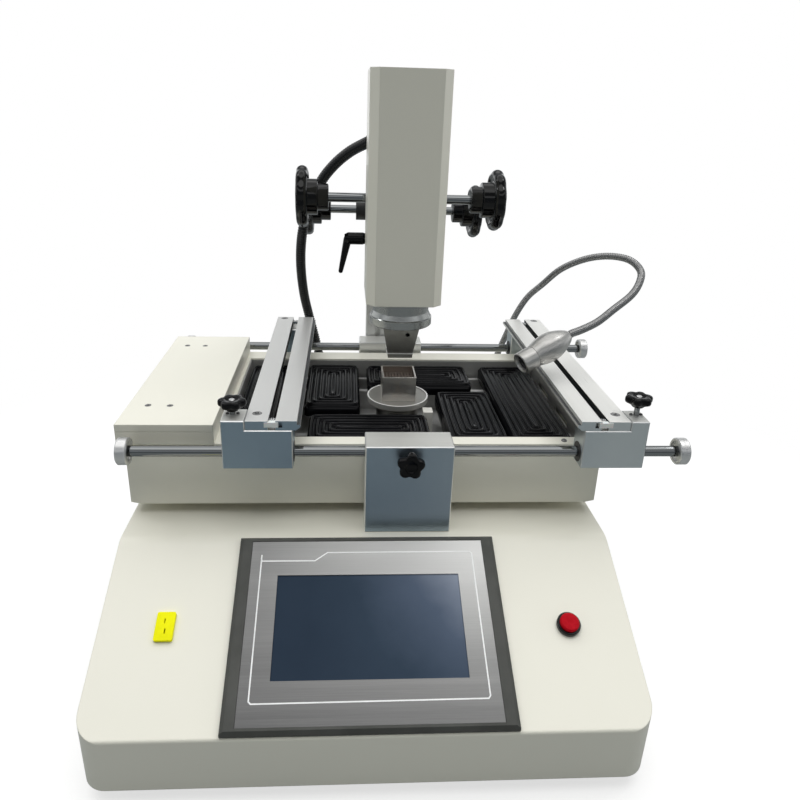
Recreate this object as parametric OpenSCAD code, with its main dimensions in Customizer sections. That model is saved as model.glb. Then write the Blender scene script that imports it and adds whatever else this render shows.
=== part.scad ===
// Hot-air rework station: console base, raised preheat tray, board clamps on
// two rails, and a hot-air head on a column, moved by two handwheel shafts.
// Millimetres, +Z up, +X to the operator's right, +Y to the back.
// The origin is on the floor, below the middle of the base.

/* [Base] */
// Width of the console base
base_w = 442; // [430:1:540]
// Depth of the console base
base_d = 560; // [550:1:680]
// Height of the base without its feet
base_h = 123.5; // [118:0.5:150]
// Height of the upright front wall below the sloped panel
front_h = 49; // [40:1:60]
// Horizontal run of the sloped panel
slope_run = 148; // [147:1:170]
// Radius of the upright corners
corner_r = 20; // [8:1:30]
// Thickness of the base sheet
sheet_t = 2; // [1.5:0.5:3]
// Height of the rubber feet
foot_h = 15; // [10:1:25]
// Diameter of the rubber feet
foot_d = 38; // [25:1:50]

/* [Operator panel] */
// Width of the touch panel's bezel
hmi_w = 226.5; // [200:0.5:240]
// Height of the touch panel's bezel along the slope
hmi_h = 163; // [140:0.5:163]
// How far the bezel stands proud of the slope
hmi_proud = 6; // [4:0.5:9]
// Width of the screen glass
screen_w = 156.5; // [140:0.5:165]
// Height of the screen glass
screen_h = 87.6; // [80:0.1:95]
// Diameter of the light button's black ring
button_ring_d = 20; // [18:0.5:26]
// Diameter of the light button's red cap
button_cap_d = 16; // [12:0.5:16]
// Travel of the light button
button_travel = 2.5; // [1.5:0.5:3]

/* [Preheat tray] */
// Width of the tray
tray_w = 444.7; // [430:0.1:460]
// Depth of the tray
tray_d = 255; // [252:1:259]
// Height of the tray
tray_h = 63; // [60:1:70]
// Gap between the base and the tray
tray_gap = 10; // [8:1:20]
// Thickness of the tray sheet
tray_t = 2; // [1.5:0.5:3]
// Width of the tray's front rim
rim_front = 15.5; // [12:0.5:20]
// Width of the tray's rear rim
rim_rear = 24; // [20:1:28]
// Width of the tray's right rim
rim_side = 7.7; // [5:0.1:10]
// Width of the left deck that carries the cover
deck_w = 85; // [80:1:90]
// Height of the left cover
cover_h = 19.7; // [15:0.1:24]
// Length of a short heater tile
tile_l = 122; // [110:1:122]
// Width of a short heater tile
tile_w = 60; // [50:1:60]
// Length of the long heater tile
tile_long = 202; // [180:1:206]
// Thickness of a heater tile below its ridges
tile_t = 12; // [8:1:14]
// Height of a tile's ridges
ridge_h = 2.5; // [1:0.5:3]

/* [Rails and clamps] */
// Diameter of the two rails
rail_d = 10; // [8:0.5:12]
// Length of each rail
rail_l = 518; // [500:1:560]
// Distance between the two rails
rail_gap = 291; // [285:1:291]
// Height of the rail axis above the base
rail_h = 74.2; // [73:0.1:80]
// Diameter of the stop collars on the rail ends
cap_d = 25; // [18:1:25]
// Outer diameter of the linear bushes
bush_d = 19; // [15:0.5:20]
// Length of the linear bushes
bush_l = 29; // [24:1:30]
// Width of a clamp beam with its jaw
beam_w = 45; // [42:0.5:50]
// Thickness of the clamp beam
beam_t = 9; // [7:0.5:12]
// Width of the fixed strip of the clamp beam
strip_w = 20; // [16:0.5:22]
// Width of the slot between the strip and the jaw
slot_w = 6.5; // [6:0.5:8]
// Depth of a clamp slider
slider_d = 26; // [24:0.5:26]
// Width of the left pad, which carries a clamp's knob
pad_left = 21; // [16:0.5:24]
// Width of the right pad
pad_right = 17; // [16:0.5:24]
// Diameter of the clamps' knobs
knob_d = 25; // [20:1:28]
// Height of the clamps' knobs
knob_h = 11; // [8:0.5:14]
// Travel of a sprung jaw
jaw_travel = 3; // [2:0.5:3]
// Seam of the left clamp from the middle of the base
left_seam = -108; // [-140:1:-90]
// Seam of the right clamp from the middle of the base
right_seam = 234; // [200:1:240]
// Width of the two middle blocks that hold the rails
block_w = 79; // [60:1:90]

/* [Work axis and lower heater] */
// Work axis from the middle of the base, to the right
axis_x = 36.5; // [20:0.5:45]
// Distance from the tray's front to the hot-air axis
axis_back = 125; // [119:1:129]
// Diameter of the lower heater's disc
disc_d = 66.5; // [60:0.5:68]
// Side of the lower square nozzle
low_nozzle_w = 36; // [28:1:40]
// Height of the lower square nozzle above its disc
low_nozzle_h = 27.4; // [20:0.1:27.5]

/* [Head and column] */
// Width of the head cover
head_w = 75; // [70:1:90]
// Depth of the head cover
head_d = 82; // [80:1:100]
// Height of the head cover
head_h = 216.5; // [190:0.5:240]
// Height of the head's underside above the base
head_rise = 181.5; // [178:0.5:200]
// Chamfer of the head's front upright edges
head_cut = 8.5; // [4:0.5:12]
// Diameter of the collar under the head
collar_d = 65; // [60:0.5:68]
// Side of the upper nozzle at its top
up_nozzle_w = 38; // [32:1:40]
// Side of the upper nozzle at its mouth
up_mouth_w = 25.5; // [20:0.5:28]
// Width of the column and of the blocks on it
column_w = 60; // [56:1:64]
// Depth of the column
column_d = 36; // [30:1:40]
// Width of the sliding arm
arm_w = 48; // [44:1:48]
// Height of the sliding arm
arm_h = 28; // [24:1:30]
// Diameter of the two cross shafts
shaft_d = 10; // [8:0.5:12]
// Length from the work axis to a handwheel's outer face
shaft_reach = 111; // [100:1:120]
// Diameter of the handwheels
wheel_d = 65; // [50:1:70]
// Module of the racks and pinions
gear_m = 1; // [1:0.25:1]
// Number of teeth on each pinion
pinion_n = 20; // [20:1:20]
// Outer diameter of the corrugated hose
hose_d = 12; // [10:0.5:12]
// Outer diameter of the gooseneck
goose_d = 8.5; // [6:0.5:8.5]

/* [Hidden] */
$fn = 48;
run_gap = 0.05;
slide_gap = 0.3;
seat_gap = 0.3;
edge_cut = 0.8;

front_y = -base_d / 2;
deck_z = foot_h + base_h;
slope_rise = base_h - front_h;
slope_a = atan(slope_rise / slope_run);
slope_l = norm([slope_run, slope_rise]);
fold_r = 9;

// Cooling fan and power inlet in the rear wall
fan_size = 80;
fan_t = 25;
fan_x = 110;
fan_z = foot_h + 62;
fan_hub_d = 30;
fan_hole_at = 35.75;
fan_hole_d = 4.3;
fan_blades = 7;
inlet_x = -130;
inlet_z = foot_h + 50;
inlet_size = [48, 30, 24];
inlet_socket = [24, 16, 20];
inlet_rim = 3;

// Operator panel: places along the slope, from its lower edge
hmi_u = (slope_l - hmi_h) / 2;
hmi_side = 11;
hmi_edge = 5;
screen_u = hmi_u + 38.3;
socket_x = -166.9;
socket_u = 85.3;
socket_size = [15, 23.8, 16];
button_x = 167.5;
button_u = 82.5;
button_ring_h = 4.5;
button_cap_h = 3;
button_body_d = button_cap_d + 1.6;

// Tray
standoff_xs = [-185, 0, 180];
standoff_d = 16;
tray_x = 0.35 - tray_w / 2;
tray_cut = [9, 2];
tray_y = front_y + 191;
axis_y = tray_y + axis_back;
tray_z = deck_z + tray_gap;
tray_top = tray_z + tray_h;
field_x = tray_x + deck_w;
field_w = tray_w - deck_w - rim_side;
field_y = tray_y + rim_front;
field_d = tray_d - rim_front - rim_rear;
liner_t = 1;
liner_gap = 0.2;
liner_floor_z = tray_z + 18;
slot_len = 45;
slot_h = 6;
slot_z = tray_top - 20;
slot_ys = [tray_y + 78, tray_y + 153];
tile_top = tray_top - 6.5;
tile_z = tile_top - ridge_h - tile_t;
cover_x = tray_x - 7;
cover_y = tray_y - 1;
cover_w = deck_w + 3;
cover_d = tray_d + 1;
cover_t = 1.5;

// Rails, middle blocks and clamps
rail_z = deck_z + rail_h;
rail_y1 = front_y + 175;
rail_y2 = rail_y1 + rail_gap;
cap_l = 10;
block_d = 31;
block_top = deck_z + 87.6;
rear_block_d = 28;
rear_block_top = block_top - 3;
beam_y = rail_y1 - slider_d / 2;
beam_l = rail_gap + slider_d;
beam_top = deck_z + 109.7;
beam_z = beam_top - beam_t;
slider_z = rail_z - 11;
jaw_x = strip_w + slot_w;
jaw_w = beam_w - jaw_x;
inset = 4;
face_step = 0.6;
ledge_w = 3;
ledge_drop = 3.5;
pin_d = 4;
pin_z = beam_z + beam_t / 2;
pin_ys = [beam_y + 10, beam_y + beam_l - 9];
knob_y = rail_y1 + 3;
knob_at = 0.59;
knob_stud_d = 5;
knob_stud_l = 14;
knob_up = [3.3, 8.2];
frame_knob_h = 12;
frame_knob_up = 1.5;
frame_stud_d = 6;
key_x = [-3.5, 2.5];
key_d = 4;
key_z = [1.3, 6];

// Lower heater
disc_t = 6;
disc_z = tray_top - 3;
low_nozzle_t = 1.5;
sieve_z = 8.5;
sieve_n = 4;
sieve_pitch = 3.4;
air_d = 30;
heater_tube_d = 46;
heater_flange_d = 54;
spigot_d = 28;
spigot_h = 5;

// Head, arm and column
head_z = deck_z + head_rise;
head_y = axis_y - head_d / 2;
head_back = head_y + head_d;
head_t = 2;
ring_h = 9;
ring_z = head_z - 27.5;
nozzle_z = deck_z + 118;
nozzle_top = ring_z + 10;
pitch_r = gear_m * pinion_n / 2;
pitch = PI * gear_m;
mesh_gap = 0.2;
slide_t = 8;
slide_w = 44;
groove_y = 2.5;
groove_h = 3;
groove_d = 3;
rack_w = 12;
lift_y = head_back + slide_t + slide_gap + 14.7;
lift_z = deck_z + 273.5;
lift_block_y = head_back + slide_t + slide_gap;
lift_block_d = 33;
lift_block_z = lift_z - 54;
lift_block_h = 72;
lift_block_w = column_w;
lever_y = lift_y - 10;
lever_z = deck_z + 231.5;
lever_d = 6;
drive_y = front_y + 503;
drive_z = deck_z + 244.5;
arm_z = drive_z + pitch_r + gear_m + 0.25;
arm_y = lift_block_y + lift_block_d;
arm_l = drive_y + 45 - arm_y;
column_y = drive_y - column_d / 2;
column_top = drive_z - 22;
saddle_d = 50;
saddle_y = drive_y - saddle_d / 2;
saddle_top = arm_z + arm_h + slide_gap + 6;
hub_l = 10;
hub_d = 37.6;
boss_l = 11.5;
boss_d = 28;
wheel_t = 12.6;
stop_d = 26;
stop_l = 13;

// The hose from the base to the head; its halves meet behind the handwheels
hose_pts = [
  [-48, 212, 139], [-49.5, 212, 156], [-54, 212, 182], [-59.5, 212.5, 208],
  [-64.5, 212.5, 229], [-69.5, 210.5, 250], [-74, 201, 276], [-76.3, 187, 307],
  [-76, 174, 335], [-73, 163.5, 362], [-67.5, 159, 385], [-59, 153, 406],
  [-47, 141, 428], [-33, 128, 445], [-18, 115, 458], [-4, 103, 466.5],
  [4.5, 92, 471], [7.5, 84, 472.5], [7.5, 77.4, 472.5]
];
hose_split = 11;
hose_steps = 3;
hose_end = hose_pts[len(hose_pts) - 1];
// The gooseneck from its ferrule on the base to the back of the lamp
goose_pts = [
  [176, 217, 150], [178.5, 217, 168], [186.5, 217, 193], [195.5, 217, 219.5],
  [206, 217, 248], [219.5, 215, 274], [235, 206, 294], [249.7, 184, 319],
  [270.4, 162, 336.5], [290.6, 140, 345.3], [307.9, 119, 345.7], [314.8, 99, 338],
  [308, 80, 329], [293, 62, 318], [266.5, 41, 307], [246, 27, 297.5], [226.5, 15.5, 292.5],
  [213.7, 8.1, 290.6], [209.9, 6.2, 289.2]
];
tube_ref = [0.5, 0.6, -0.6];
lamp_tail = [209.4, 6, 289];
lamp_nose = [156, -16, 265];
stem_d = 8;

// Points of a round corner at p, between the directions to a and b
function round_corner(a, p, b, r, n = 5) =
  let (
    u = (a - p) / norm(a - p),
    v = (b - p) / norm(b - p),
    half = acos(u * v) / 2,
    c = p + (u + v) / norm(u + v) * r / sin(half),
    s = p + u * r / tan(half) - c,
    e = p + v * r / tan(half) - c,
    a0 = atan2(s[1], s[0]),
    turn = atan2(s[0] * e[1] - s[1] * e[0], s * e)
  )
  [for (i = [0:n]) c + r * [cos(a0 + turn * i / n), sin(a0 + turn * i / n)]];

// Catmull-Rom point between p1 and p2
function spline(p0, p1, p2, p3, t) =
  0.5 * ((2 * p1) + (p2 - p0) * t + (2 * p0 - 5 * p1 + 4 * p2 - p3) * t * t
    + (3 * p1 - p0 - 3 * p2 + p3) * t * t * t);
function route(pts, n) =
  let (m = len(pts))
  concat([for (i = [0:m - 2], k = [0:n - 1])
    spline(pts[max(i - 1, 0)], pts[i], pts[i + 1], pts[min(i + 2, m - 1)], k / n)],
    [pts[m - 1]]);
function unit(v) = v / norm(v);
function tangent(r, i) = unit(r[min(i + 1, len(r) - 1)] - r[max(i - 1, 0)]);

// Round tube swept along the points i0 to i1 of a route
module sweep_tube(r, d, sides, i0, i1, ref = tube_ref) {
  rings = [for (i = [i0:i1])
    let (t = tangent(r, i), u = unit(cross(t, ref)), v = cross(t, u))
    for (k = [0:sides - 1])
      r[i] + (i == i0 ? 0.2 : 0) * t + d / 2 * (u * cos(360 * k / sides) + v * sin(360 * k / sides))];
  n = i1 - i0 + 1;
  walls = [for (i = [0:n - 2], k = [0:sides - 1])
    let (a = i * sides + k, b = i * sides + (k + 1) % sides)
    [a, a + sides, b + sides, b]];
  start = [[for (k = [0:sides - 1]) k]];
  end = [[for (k = [0:sides - 1]) n * sides - 1 - k]];
  polyhedron(rings, concat(walls, start, end));
}

module on_slope(x, u) {
  translate([x, front_y + u * cos(slope_a), foot_h + front_h + u * sin(slope_a)])
    rotate([slope_a, 0, 0])
      children();
}

// Plate with round corners, centred in X and Y
module round_plate(w, d, h, r) {
  linear_extrude(h) {
    square([w - 2 * r, d], center = true);
    square([w, d - 2 * r], center = true);
    for (x = [-1, 1], y = [-1, 1])
      translate([x * (w / 2 - r), y * (d / 2 - r)])
        circle(r);
  }
}

// Box with all its edges cut at 45 degrees
module edged_box(s, c = edge_cut) {
  intersection() {
    linear_extrude(s[2])
      cut_rectangle(s[0], s[1], c);
    translate([0, s[1], 0])
      rotate([90, 0, 0])
        linear_extrude(s[1])
          cut_rectangle(s[0], s[2], c);
    rotate([90, 0, 90])
      linear_extrude(s[0])
        cut_rectangle(s[1], s[2], c);
  }
}

module cut_rectangle(w, h, c) {
  polygon([[c, 0], [w - c, 0], [w, c], [w, h - c], [w - c, h], [c, h], [0, h - c], [0, c]]);
}

module rod_x(d, l) {
  rotate([0, 90, 0])
    cylinder(d = d, h = l);
}

// Side outline of the base, drawn in by t
function base_outline(t) =
  let (
    y0 = front_y + t,
    y1 = -front_y - t,
    top = deck_z - t,
    shift = t / cos(slope_a),
    low = [y0, foot_h + front_h + t * tan(slope_a) - shift],
    crease = [front_y + (slope_rise - t + shift) / tan(slope_a), top],
    bottom = foot_h
  )
  concat(
    [[y0, bottom]],
    round_corner([y0, bottom], low, crease, 3),
    round_corner(low, crease, [y1, top], fold_r * 3),
    [[y1, top], [y1, bottom]]
  );

module base_form(t) {
  r = corner_r - t;
  w = base_w - 2 * t;
  d = base_d - 2 * t;
  intersection() {
    translate([-base_w / 2, 0, 0])
      rotate([90, 0, 90])
        linear_extrude(base_w)
          polygon(base_outline(t));
    translate([0, 0, foot_h])
      linear_extrude(base_h) {
        translate([-w / 2, -d / 2 + r])
          square([w, d - r]);
        translate([-w / 2 + r, -d / 2])
          square([w - 2 * r, r + 1]);
        for (x = [-1, 1])
          translate([x * (w / 2 - r), -d / 2 + r])
            circle(r);
      }
  }
}

module fan_guard_cut() {
  for (r = [9, 19, 29])
    difference() {
      cylinder(r = r + 7, h = 3 * sheet_t, center = true);
      cylinder(r = r, h = 4 * sheet_t, center = true);
      for (a = [45, 135])
        rotate(a)
          cube([fan_size, 3, 4 * sheet_t], center = true);
    }
}

module base_shell() {
  color("#e9e5d6")
    difference() {
      base_form(0);
      difference() {
        base_form(sheet_t);
        translate([-base_w, -base_d, 0])
          cube([2 * base_w, 2 * base_d, foot_h + sheet_t]);
      }
      translate([-base_w / 2 + sheet_t, -base_d / 2 + corner_r, foot_h - 1])
        cube([base_w - 2 * sheet_t, base_d - corner_r - sheet_t, sheet_t + 2]);
      on_slope(0, slope_l / 2)
        cube([hmi_w - 16, hmi_h - 16, 40], center = true);
      on_slope(socket_x, socket_u)
        cube([socket_size[0] - 4, socket_size[1] - 4, 40], center = true);
      on_slope(button_x, button_u)
        cylinder(d = button_body_d, h = 40, center = true);
      translate([fan_x, -front_y, fan_z])
        rotate([90, 0, 0])
          fan_guard_cut();
      translate([inlet_x, -front_y, inlet_z])
        cube([inlet_size[0], 20, inlet_size[1]], center = true);
      translate([axis_x, axis_y, deck_z - 2 * sheet_t])
        cylinder(d = air_d, h = 4 * sheet_t);
      translate([goose_pts[0][0], goose_pts[0][1], deck_z - 2 * sheet_t])
        cylinder(d = stem_d + 2 * run_gap, h = 4 * sheet_t);
    }
}

module base_plate() {
  gap = 0.3;
  color("#8d9094")
    difference() {
      translate([-base_w / 2 + sheet_t + gap, -base_d / 2 + corner_r + gap, foot_h])
        cube([base_w - 2 * (sheet_t + gap), base_d - corner_r - sheet_t - 2 * gap, sheet_t]);
      for (x = [-150:20:-30])
        translate([x, -60, foot_h - 1])
          round_plate(6, 60, sheet_t + 2, 2.9);
    }
}

module feet() {
  color("#1c1c1e")
    for (x = [-1, 1], y = [-1, 1])
      translate([x * (base_w / 2 - 45), y * (base_d / 2 - 50), 0])
        rotate_extrude()
          polygon([[0, 0], [foot_d / 2 - 3, 0], [foot_d / 2 - 1, 2], [foot_d / 2, foot_h], [0, foot_h]]);
}

module hmi_bezel() {
  w = hmi_w;
  h = hmi_h;
  color("#3b3d40")
    on_slope(0, hmi_u + hmi_h / 2)
      difference() {
        union() {
          cube([w - 17, h - 17, 1], center = true);
          rotate([90, 0, 90])
            linear_extrude(w, center = true)
              polygon([[-h / 2, 0.2], [h / 2, 0.2], [h / 2, hmi_proud - 3], [h / 2 - 3, hmi_proud],
                [-h / 2 + 3, hmi_proud], [-h / 2, hmi_proud - 3]]);
        }
        for (s = [-1, 1])
          translate([s * w / 2, 0, hmi_proud])
            rotate([0, s * 30, 0])
              cube([14, h + 2, 3], center = true);
        translate([-w / 2 + hmi_side, -h / 2 + hmi_edge, hmi_proud - 1.5])
          cube([w - 2 * hmi_side, h - 2 * hmi_edge, 10]);
        translate([-screen_w / 2 - 3, screen_u - hmi_u - h / 2 - 3, -10])
          cube([screen_w + 6, screen_h + 6, 30]);
      }
}

module hmi_plate() {
  gap = 0.2;
  w = hmi_w - 2 * (hmi_side + gap);
  h = hmi_h - 2 * (hmi_edge + gap);
  color("#9aa0a6")
    on_slope(0, hmi_u + hmi_h / 2)
      difference() {
        translate([-w / 2, -h / 2, hmi_proud - 1.5])
          cube([w, h, 1]);
        translate([-screen_w / 2, screen_u - hmi_u - hmi_h / 2, 0])
          cube([screen_w, screen_h, 20]);
      }
}

module hmi_screen() {
  t = 3;
  grow = 2;
  color("#141d2b")
    on_slope(0, screen_u + screen_h / 2)
      translate([0, 0, hmi_proud - 1.5 - t / 2])
        cube([screen_w + 2 * grow, screen_h + 2 * grow, t], center = true);
}

module thermocouple_socket() {
  s = socket_size;
  color("#f2d60c")
    on_slope(socket_x, socket_u)
      difference() {
        union() {
          translate([0, 0, 0.2])
            round_plate(s[0], s[1], 3, 1.5);
          translate([0, 0, -s[2] / 2 + 1])
            cube([s[0] - 4.6, s[1] - 4.6, s[2]], center = true);
        }
        translate([-0.6, 4.2, 3])
          cube([1, 4, 8], center = true);
        translate([0.6, -4.2, 3])
          cube([1.2, 4.4, 8], center = true);
      }
}

module button_bezel() {
  color("#161616")
    on_slope(button_x, button_u)
      difference() {
        union() {
          rotate_extrude()
            polygon([[0, 0.2], [button_ring_d / 2, 0.2], [button_ring_d / 2, button_ring_h - 1],
              [button_cap_d / 2 + 1.2, button_ring_h], [0, button_ring_h]]);
          translate([0, 0, -20])
            cylinder(d = button_body_d - 0.6, h = 20.4);
        }
        translate([0, 0, button_ring_h - button_travel - 6])
          cylinder(d = button_cap_d + 2 * run_gap, h = 20);
      }
}

module button_cap() {
  color("#c3121c")
    on_slope(button_x, button_u)
      translate([0, 0, button_ring_h - 5])
        rotate_extrude()
          polygon([[0, 0], [button_cap_d / 2, 0], [button_cap_d / 2, 7],
            [button_cap_d / 2 - 1, 5 + button_cap_h], [0, 5 + button_cap_h + 0.4]]);
}

module power_inlet() {
  s = inlet_size;
  color("#1a1a1a")
    translate([inlet_x, -front_y, inlet_z])
      difference() {
        union() {
          translate([-s[0] / 2 - inlet_rim, 0.2, -s[1] / 2 - inlet_rim])
            cube([s[0] + 2 * inlet_rim, 2, s[1] + 2 * inlet_rim]);
          translate([-s[0] / 2 + 0.3, -s[2], -s[1] / 2 + 0.3])
            cube([s[0] - 0.6, s[2] + 1, s[1] - 0.6]);
        }
        translate([-18, -inlet_socket[1], -inlet_socket[2] / 2])
          cube([inlet_socket[0], 40, inlet_socket[2]]);
        translate([11, -6, -9])
          cube([9, 20, 18]);
      }
}

module fan_frame() {
  color("#222426")
    translate([fan_x, -front_y - sheet_t - fan_t, fan_z])
      rotate([-90, 0, 0])
        difference() {
          round_plate(fan_size, fan_size, fan_t, 4);
          difference() {
            translate([0, 0, -1])
              cylinder(d = fan_size - 5, h = fan_t + 2);
            translate([0, 0, -2])
              cylinder(d = fan_hub_d, h = 5);
            for (a = [0:90:270])
              rotate(a)
                translate([0, -2, 0])
                  cube([fan_size / 2, 4, 3]);
          }
          for (x = [-1, 1], y = [-1, 1])
            translate([x * fan_hole_at, y * fan_hole_at, -1])
              cylinder(d = fan_hole_d, h = fan_t + 2);
        }
}

module fan_rotor() {
  color("#2a2c2f")
    translate([fan_x, -front_y - sheet_t - fan_t + 3.3, fan_z])
      rotate([-90, 0, 0]) {
        cylinder(d = fan_hub_d, h = fan_t - 6);
        for (a = [0:360 / fan_blades:359])
          rotate(a)
            translate([12, 0, 2])
              rotate([35, 0, 0])
                cube([fan_size / 2 - 16.5, 2, 20]);
      }
}

module tray_standoffs() {
  color("#b9bcbf")
    for (x = standoff_xs, y = [tray_y + 45, tray_y + tray_d - 45])
      translate([x, y, deck_z])
        cylinder(d = standoff_d, h = tray_gap);
}

module tray_slots(x, l) {
  for (y = slot_ys)
    translate([x, y, slot_z])
      cube([l, slot_len, slot_h]);
}

module tray_box() {
  color("#e6e2d2")
    difference() {
      translate([tray_x, tray_y + tray_d, tray_z])
        rotate([90, 0, 0])
          linear_extrude(tray_d)
            polygon([[tray_cut[0], 0], [tray_w - tray_cut[0], 0], [tray_w, tray_cut[1]],
              [tray_w, tray_h], [0, tray_h], [0, tray_cut[1]]]);
      translate([tray_x + tray_t, tray_y + tray_t, tray_z + tray_t])
        cube([tray_w - 2 * tray_t, tray_d - 2 * tray_t, tray_h - 2 * tray_t]);
      translate([field_x, field_y, tray_z + tray_t])
        cube([field_w, field_d, tray_h]);
      tray_slots(tray_x + tray_w - tray_t - 1, tray_t + 2);
      translate([axis_x, axis_y, tray_z - 1])
        cylinder(d = heater_tube_d + 4, h = 5);
    }
}

module tray_liner() {
  g = liner_gap;
  x0 = field_x + g;
  y0 = field_y + g;
  w = field_w - 2 * g;
  d = field_d - 2 * g;
  color("#4a4a46") {
    difference() {
      translate([x0, y0, liner_floor_z])
        cube([w, d, tray_top - 1.5 - liner_floor_z]);
      translate([x0 + liner_t, y0 + liner_t, liner_floor_z + liner_t])
        cube([w - 2 * liner_t, d - 2 * liner_t, tray_h]);
      tray_slots(field_x + field_w - 3, 5);
      translate([axis_x, axis_y, liner_floor_z - 1])
        cylinder(d = heater_flange_d + 6, h = 5);
      for (y = [y0 + 26, y0 + d - 60])
        translate([x0 + 40, y, liner_floor_z - 1])
          cube([w - 80, 20, 0.4]);
    }
    for (y = [y0 + 8, y0 + 44, y0 + d - 52, y0 + d - 14])
      translate([x0 + 0.5, y, liner_floor_z + 0.5])
        cube([w - 1, 6, tile_z - liner_floor_z - 0.5]);
    for (x = [x0, x0 + w - 12], y = [y0 + 4, y0 + d - 12])
      translate([x, y, tray_z + tray_t])
        cube([12, 8, liner_floor_z - tray_z - tray_t]);
  }
}

module left_cover() {
  color("#ece8da")
    difference() {
      translate([cover_x, cover_y, tray_top])
        cube([cover_w, cover_d, cover_h]);
      translate([cover_x + cover_t, cover_y + cover_t, tray_top - 1])
        cube([cover_w - 2 * cover_t, cover_d - 2 * cover_t, cover_h + 1 - cover_t]);
      translate([cover_x - 1, cover_y - 1, tray_top + cover_h - 7.3])
        cube([cover_w + 2, 1.4, 0.5]);
      for (x = [19, 40], y = [44, cover_d - 35])
        translate([cover_x + x, cover_y + y, tray_top + cover_h - 1])
          cylinder(d1 = 4, d2 = 6.5, h = 1.01);
    }
}

// Ceramic heater tile with rectangular ridges, one inside the other
module heater_tile(w, l) {
  h = tile_t;
  color("#17171a") {
    round_plate(w, l, h, 5);
    for (k = [0:3]) {
      s = 3 + 7 * k;
      rw = w - 2 * s;
      rl = l - 2 * s;
      translate([0, 0, h - 0.01])
        difference() {
          round_plate(rw, rl, ridge_h, max(4 - k, 1.2));
          translate([0, 0, -1])
            round_plate(rw - 7, rl - 7, ridge_h + 2, max(1.5 - k / 2, 0.4));
        }
    }
  }
}

// Place of each tile: centre from the work axis, and whether it lies along X
module tile_at(dx, dy, w, l, turn) {
  translate([axis_x + dx, axis_y + dy, tile_z])
    rotate(turn)
      heater_tile(w, l);
}

module lower_heater() {
  color("#6c6c6a")
    difference() {
      union() {
        translate([axis_x, axis_y, tray_z - tray_gap])
          cylinder(d = heater_tube_d, h = disc_z - disc_t - tray_z + tray_gap);
        translate([axis_x, axis_y, disc_z - disc_t - 4])
          cylinder(d = heater_flange_d, h = 4);
      }
      translate([axis_x, axis_y, deck_z - 1])
        cylinder(d = air_d, h = 120);
    }
}

module ceramic_block() {
  color("#e9e6df")
    translate([axis_x + 25, axis_y - 39, liner_floor_z + liner_t])
      difference() {
        cube([10, 13, tile_top - liner_floor_z - liner_t]);
        for (y = [3.5, 9.5])
          translate([-1, y, 22])
            rotate([0, 90, 0])
              cylinder(d = 3, h = 20);
      }
}

module lower_disc() {
  color("#b8b8b4")
    translate([axis_x, axis_y, disc_z - disc_t])
      difference() {
        rotate_extrude($fn = 96)
          polygon([[0, 0], [disc_d / 2 - 1, 0], [disc_d / 2, 1], [disc_d / 2, disc_t + 0.6],
            [disc_d / 2 - 1.6, disc_t + 0.6], [disc_d / 2 - 1.6, disc_t], [0, disc_t]]);
        translate([0, 0, -1])
          cylinder(d = spigot_d, h = disc_t + 3);
      }
}

module lower_nozzle() {
  w = low_nozzle_w;
  t = low_nozzle_t;
  color("#7d7a74")
    translate([axis_x, axis_y, disc_z + 0.1]) {
      difference() {
        union() {
          translate([-w / 2, -w / 2, 0])
            cube([w, w, low_nozzle_h]);
          translate([0, 0, -spigot_h])
            cylinder(d = spigot_d - 2 * run_gap, h = spigot_h + 1);
        }
        translate([-w / 2 + t, -w / 2 + t, 2])
          cube([w - 2 * t, w - 2 * t, low_nozzle_h]);
        translate([0, 0, -spigot_h - 1])
          cylinder(d = spigot_d - 4, h = 20);
      }
      difference() {
        translate([-w / 2 + t - 0.01, -w / 2 + t - 0.01, low_nozzle_h - sieve_z])
          cube([w - 2 * t + 0.02, w - 2 * t + 0.02, 1]);
        for (i = [-sieve_n:sieve_n], j = [-sieve_n:sieve_n])
          translate([i * sieve_pitch, j * sieve_pitch, low_nozzle_h - sieve_z - 1])
            cylinder(d = 2, h = 3, $fn = 16);
      }
    }
}

module rail_bore(l) {
  translate([-l / 2, 0, 0])
    rod_x(rail_d + 2 * run_gap, l);
}

module front_block() {
  y0 = rail_y1 - block_d / 2 - 3;
  color("#b4b8bc")
    difference() {
      translate([axis_x - block_w / 2, y0, deck_z])
        edged_box([block_w, block_d, block_top - deck_z]);
      translate([axis_x, rail_y1, rail_z])
        rail_bore(block_w + 2);
      translate([axis_x, y0 - 1, rail_z])
        rotate([-90, 0, 0])
          cylinder(d = frame_stud_d + 2 * run_gap, h = 1 + block_d / 2 + 3 - rail_d / 2);
    }
}

module rear_block() {
  color("#b4b8bc")
    difference() {
      translate([axis_x - block_w / 2, rail_y2 - rear_block_d / 2, deck_z])
        edged_box([block_w, rear_block_d, rear_block_top - deck_z]);
      translate([axis_x, rail_y2, rail_z])
        rail_bore(block_w + 2);
    }
}

module rails() {
  color("#cfd2d5")
    for (y = [rail_y1, rail_y2])
      translate([axis_x - rail_l / 2, y, rail_z])
        rod_x(rail_d, rail_l);
}

module rail_caps() {
  color("#c2c5c8")
    for (y = [rail_y1, rail_y2], s = [-1, 1])
      translate([axis_x + s * (rail_l / 2 - cap_l), y, rail_z])
        rotate([0, s * 90, 0])
          rotate_extrude()
            polygon([[rail_d / 2, 2], [cap_d / 2 - 3, 2], [cap_d / 2 - 3, 0], [cap_d / 2 - 1, 0],
              [cap_d / 2, 1], [cap_d / 2, cap_l - 1], [cap_d / 2 - 1, cap_l], [rail_d / 2, cap_l]]);
}

// A clamp is drawn with its seam at X = 0 and its jaw towards +X
module clamp_at(side) {
  if (side < 0)
    translate([left_seam, 0, 0])
      children();
  else
    translate([right_seam, 0, 0])
      mirror([1, 0, 0])
        children();
}

slider_w = beam_w - inset;
function pad_w(side) = side < 0 ? pad_left : pad_right;

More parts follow.
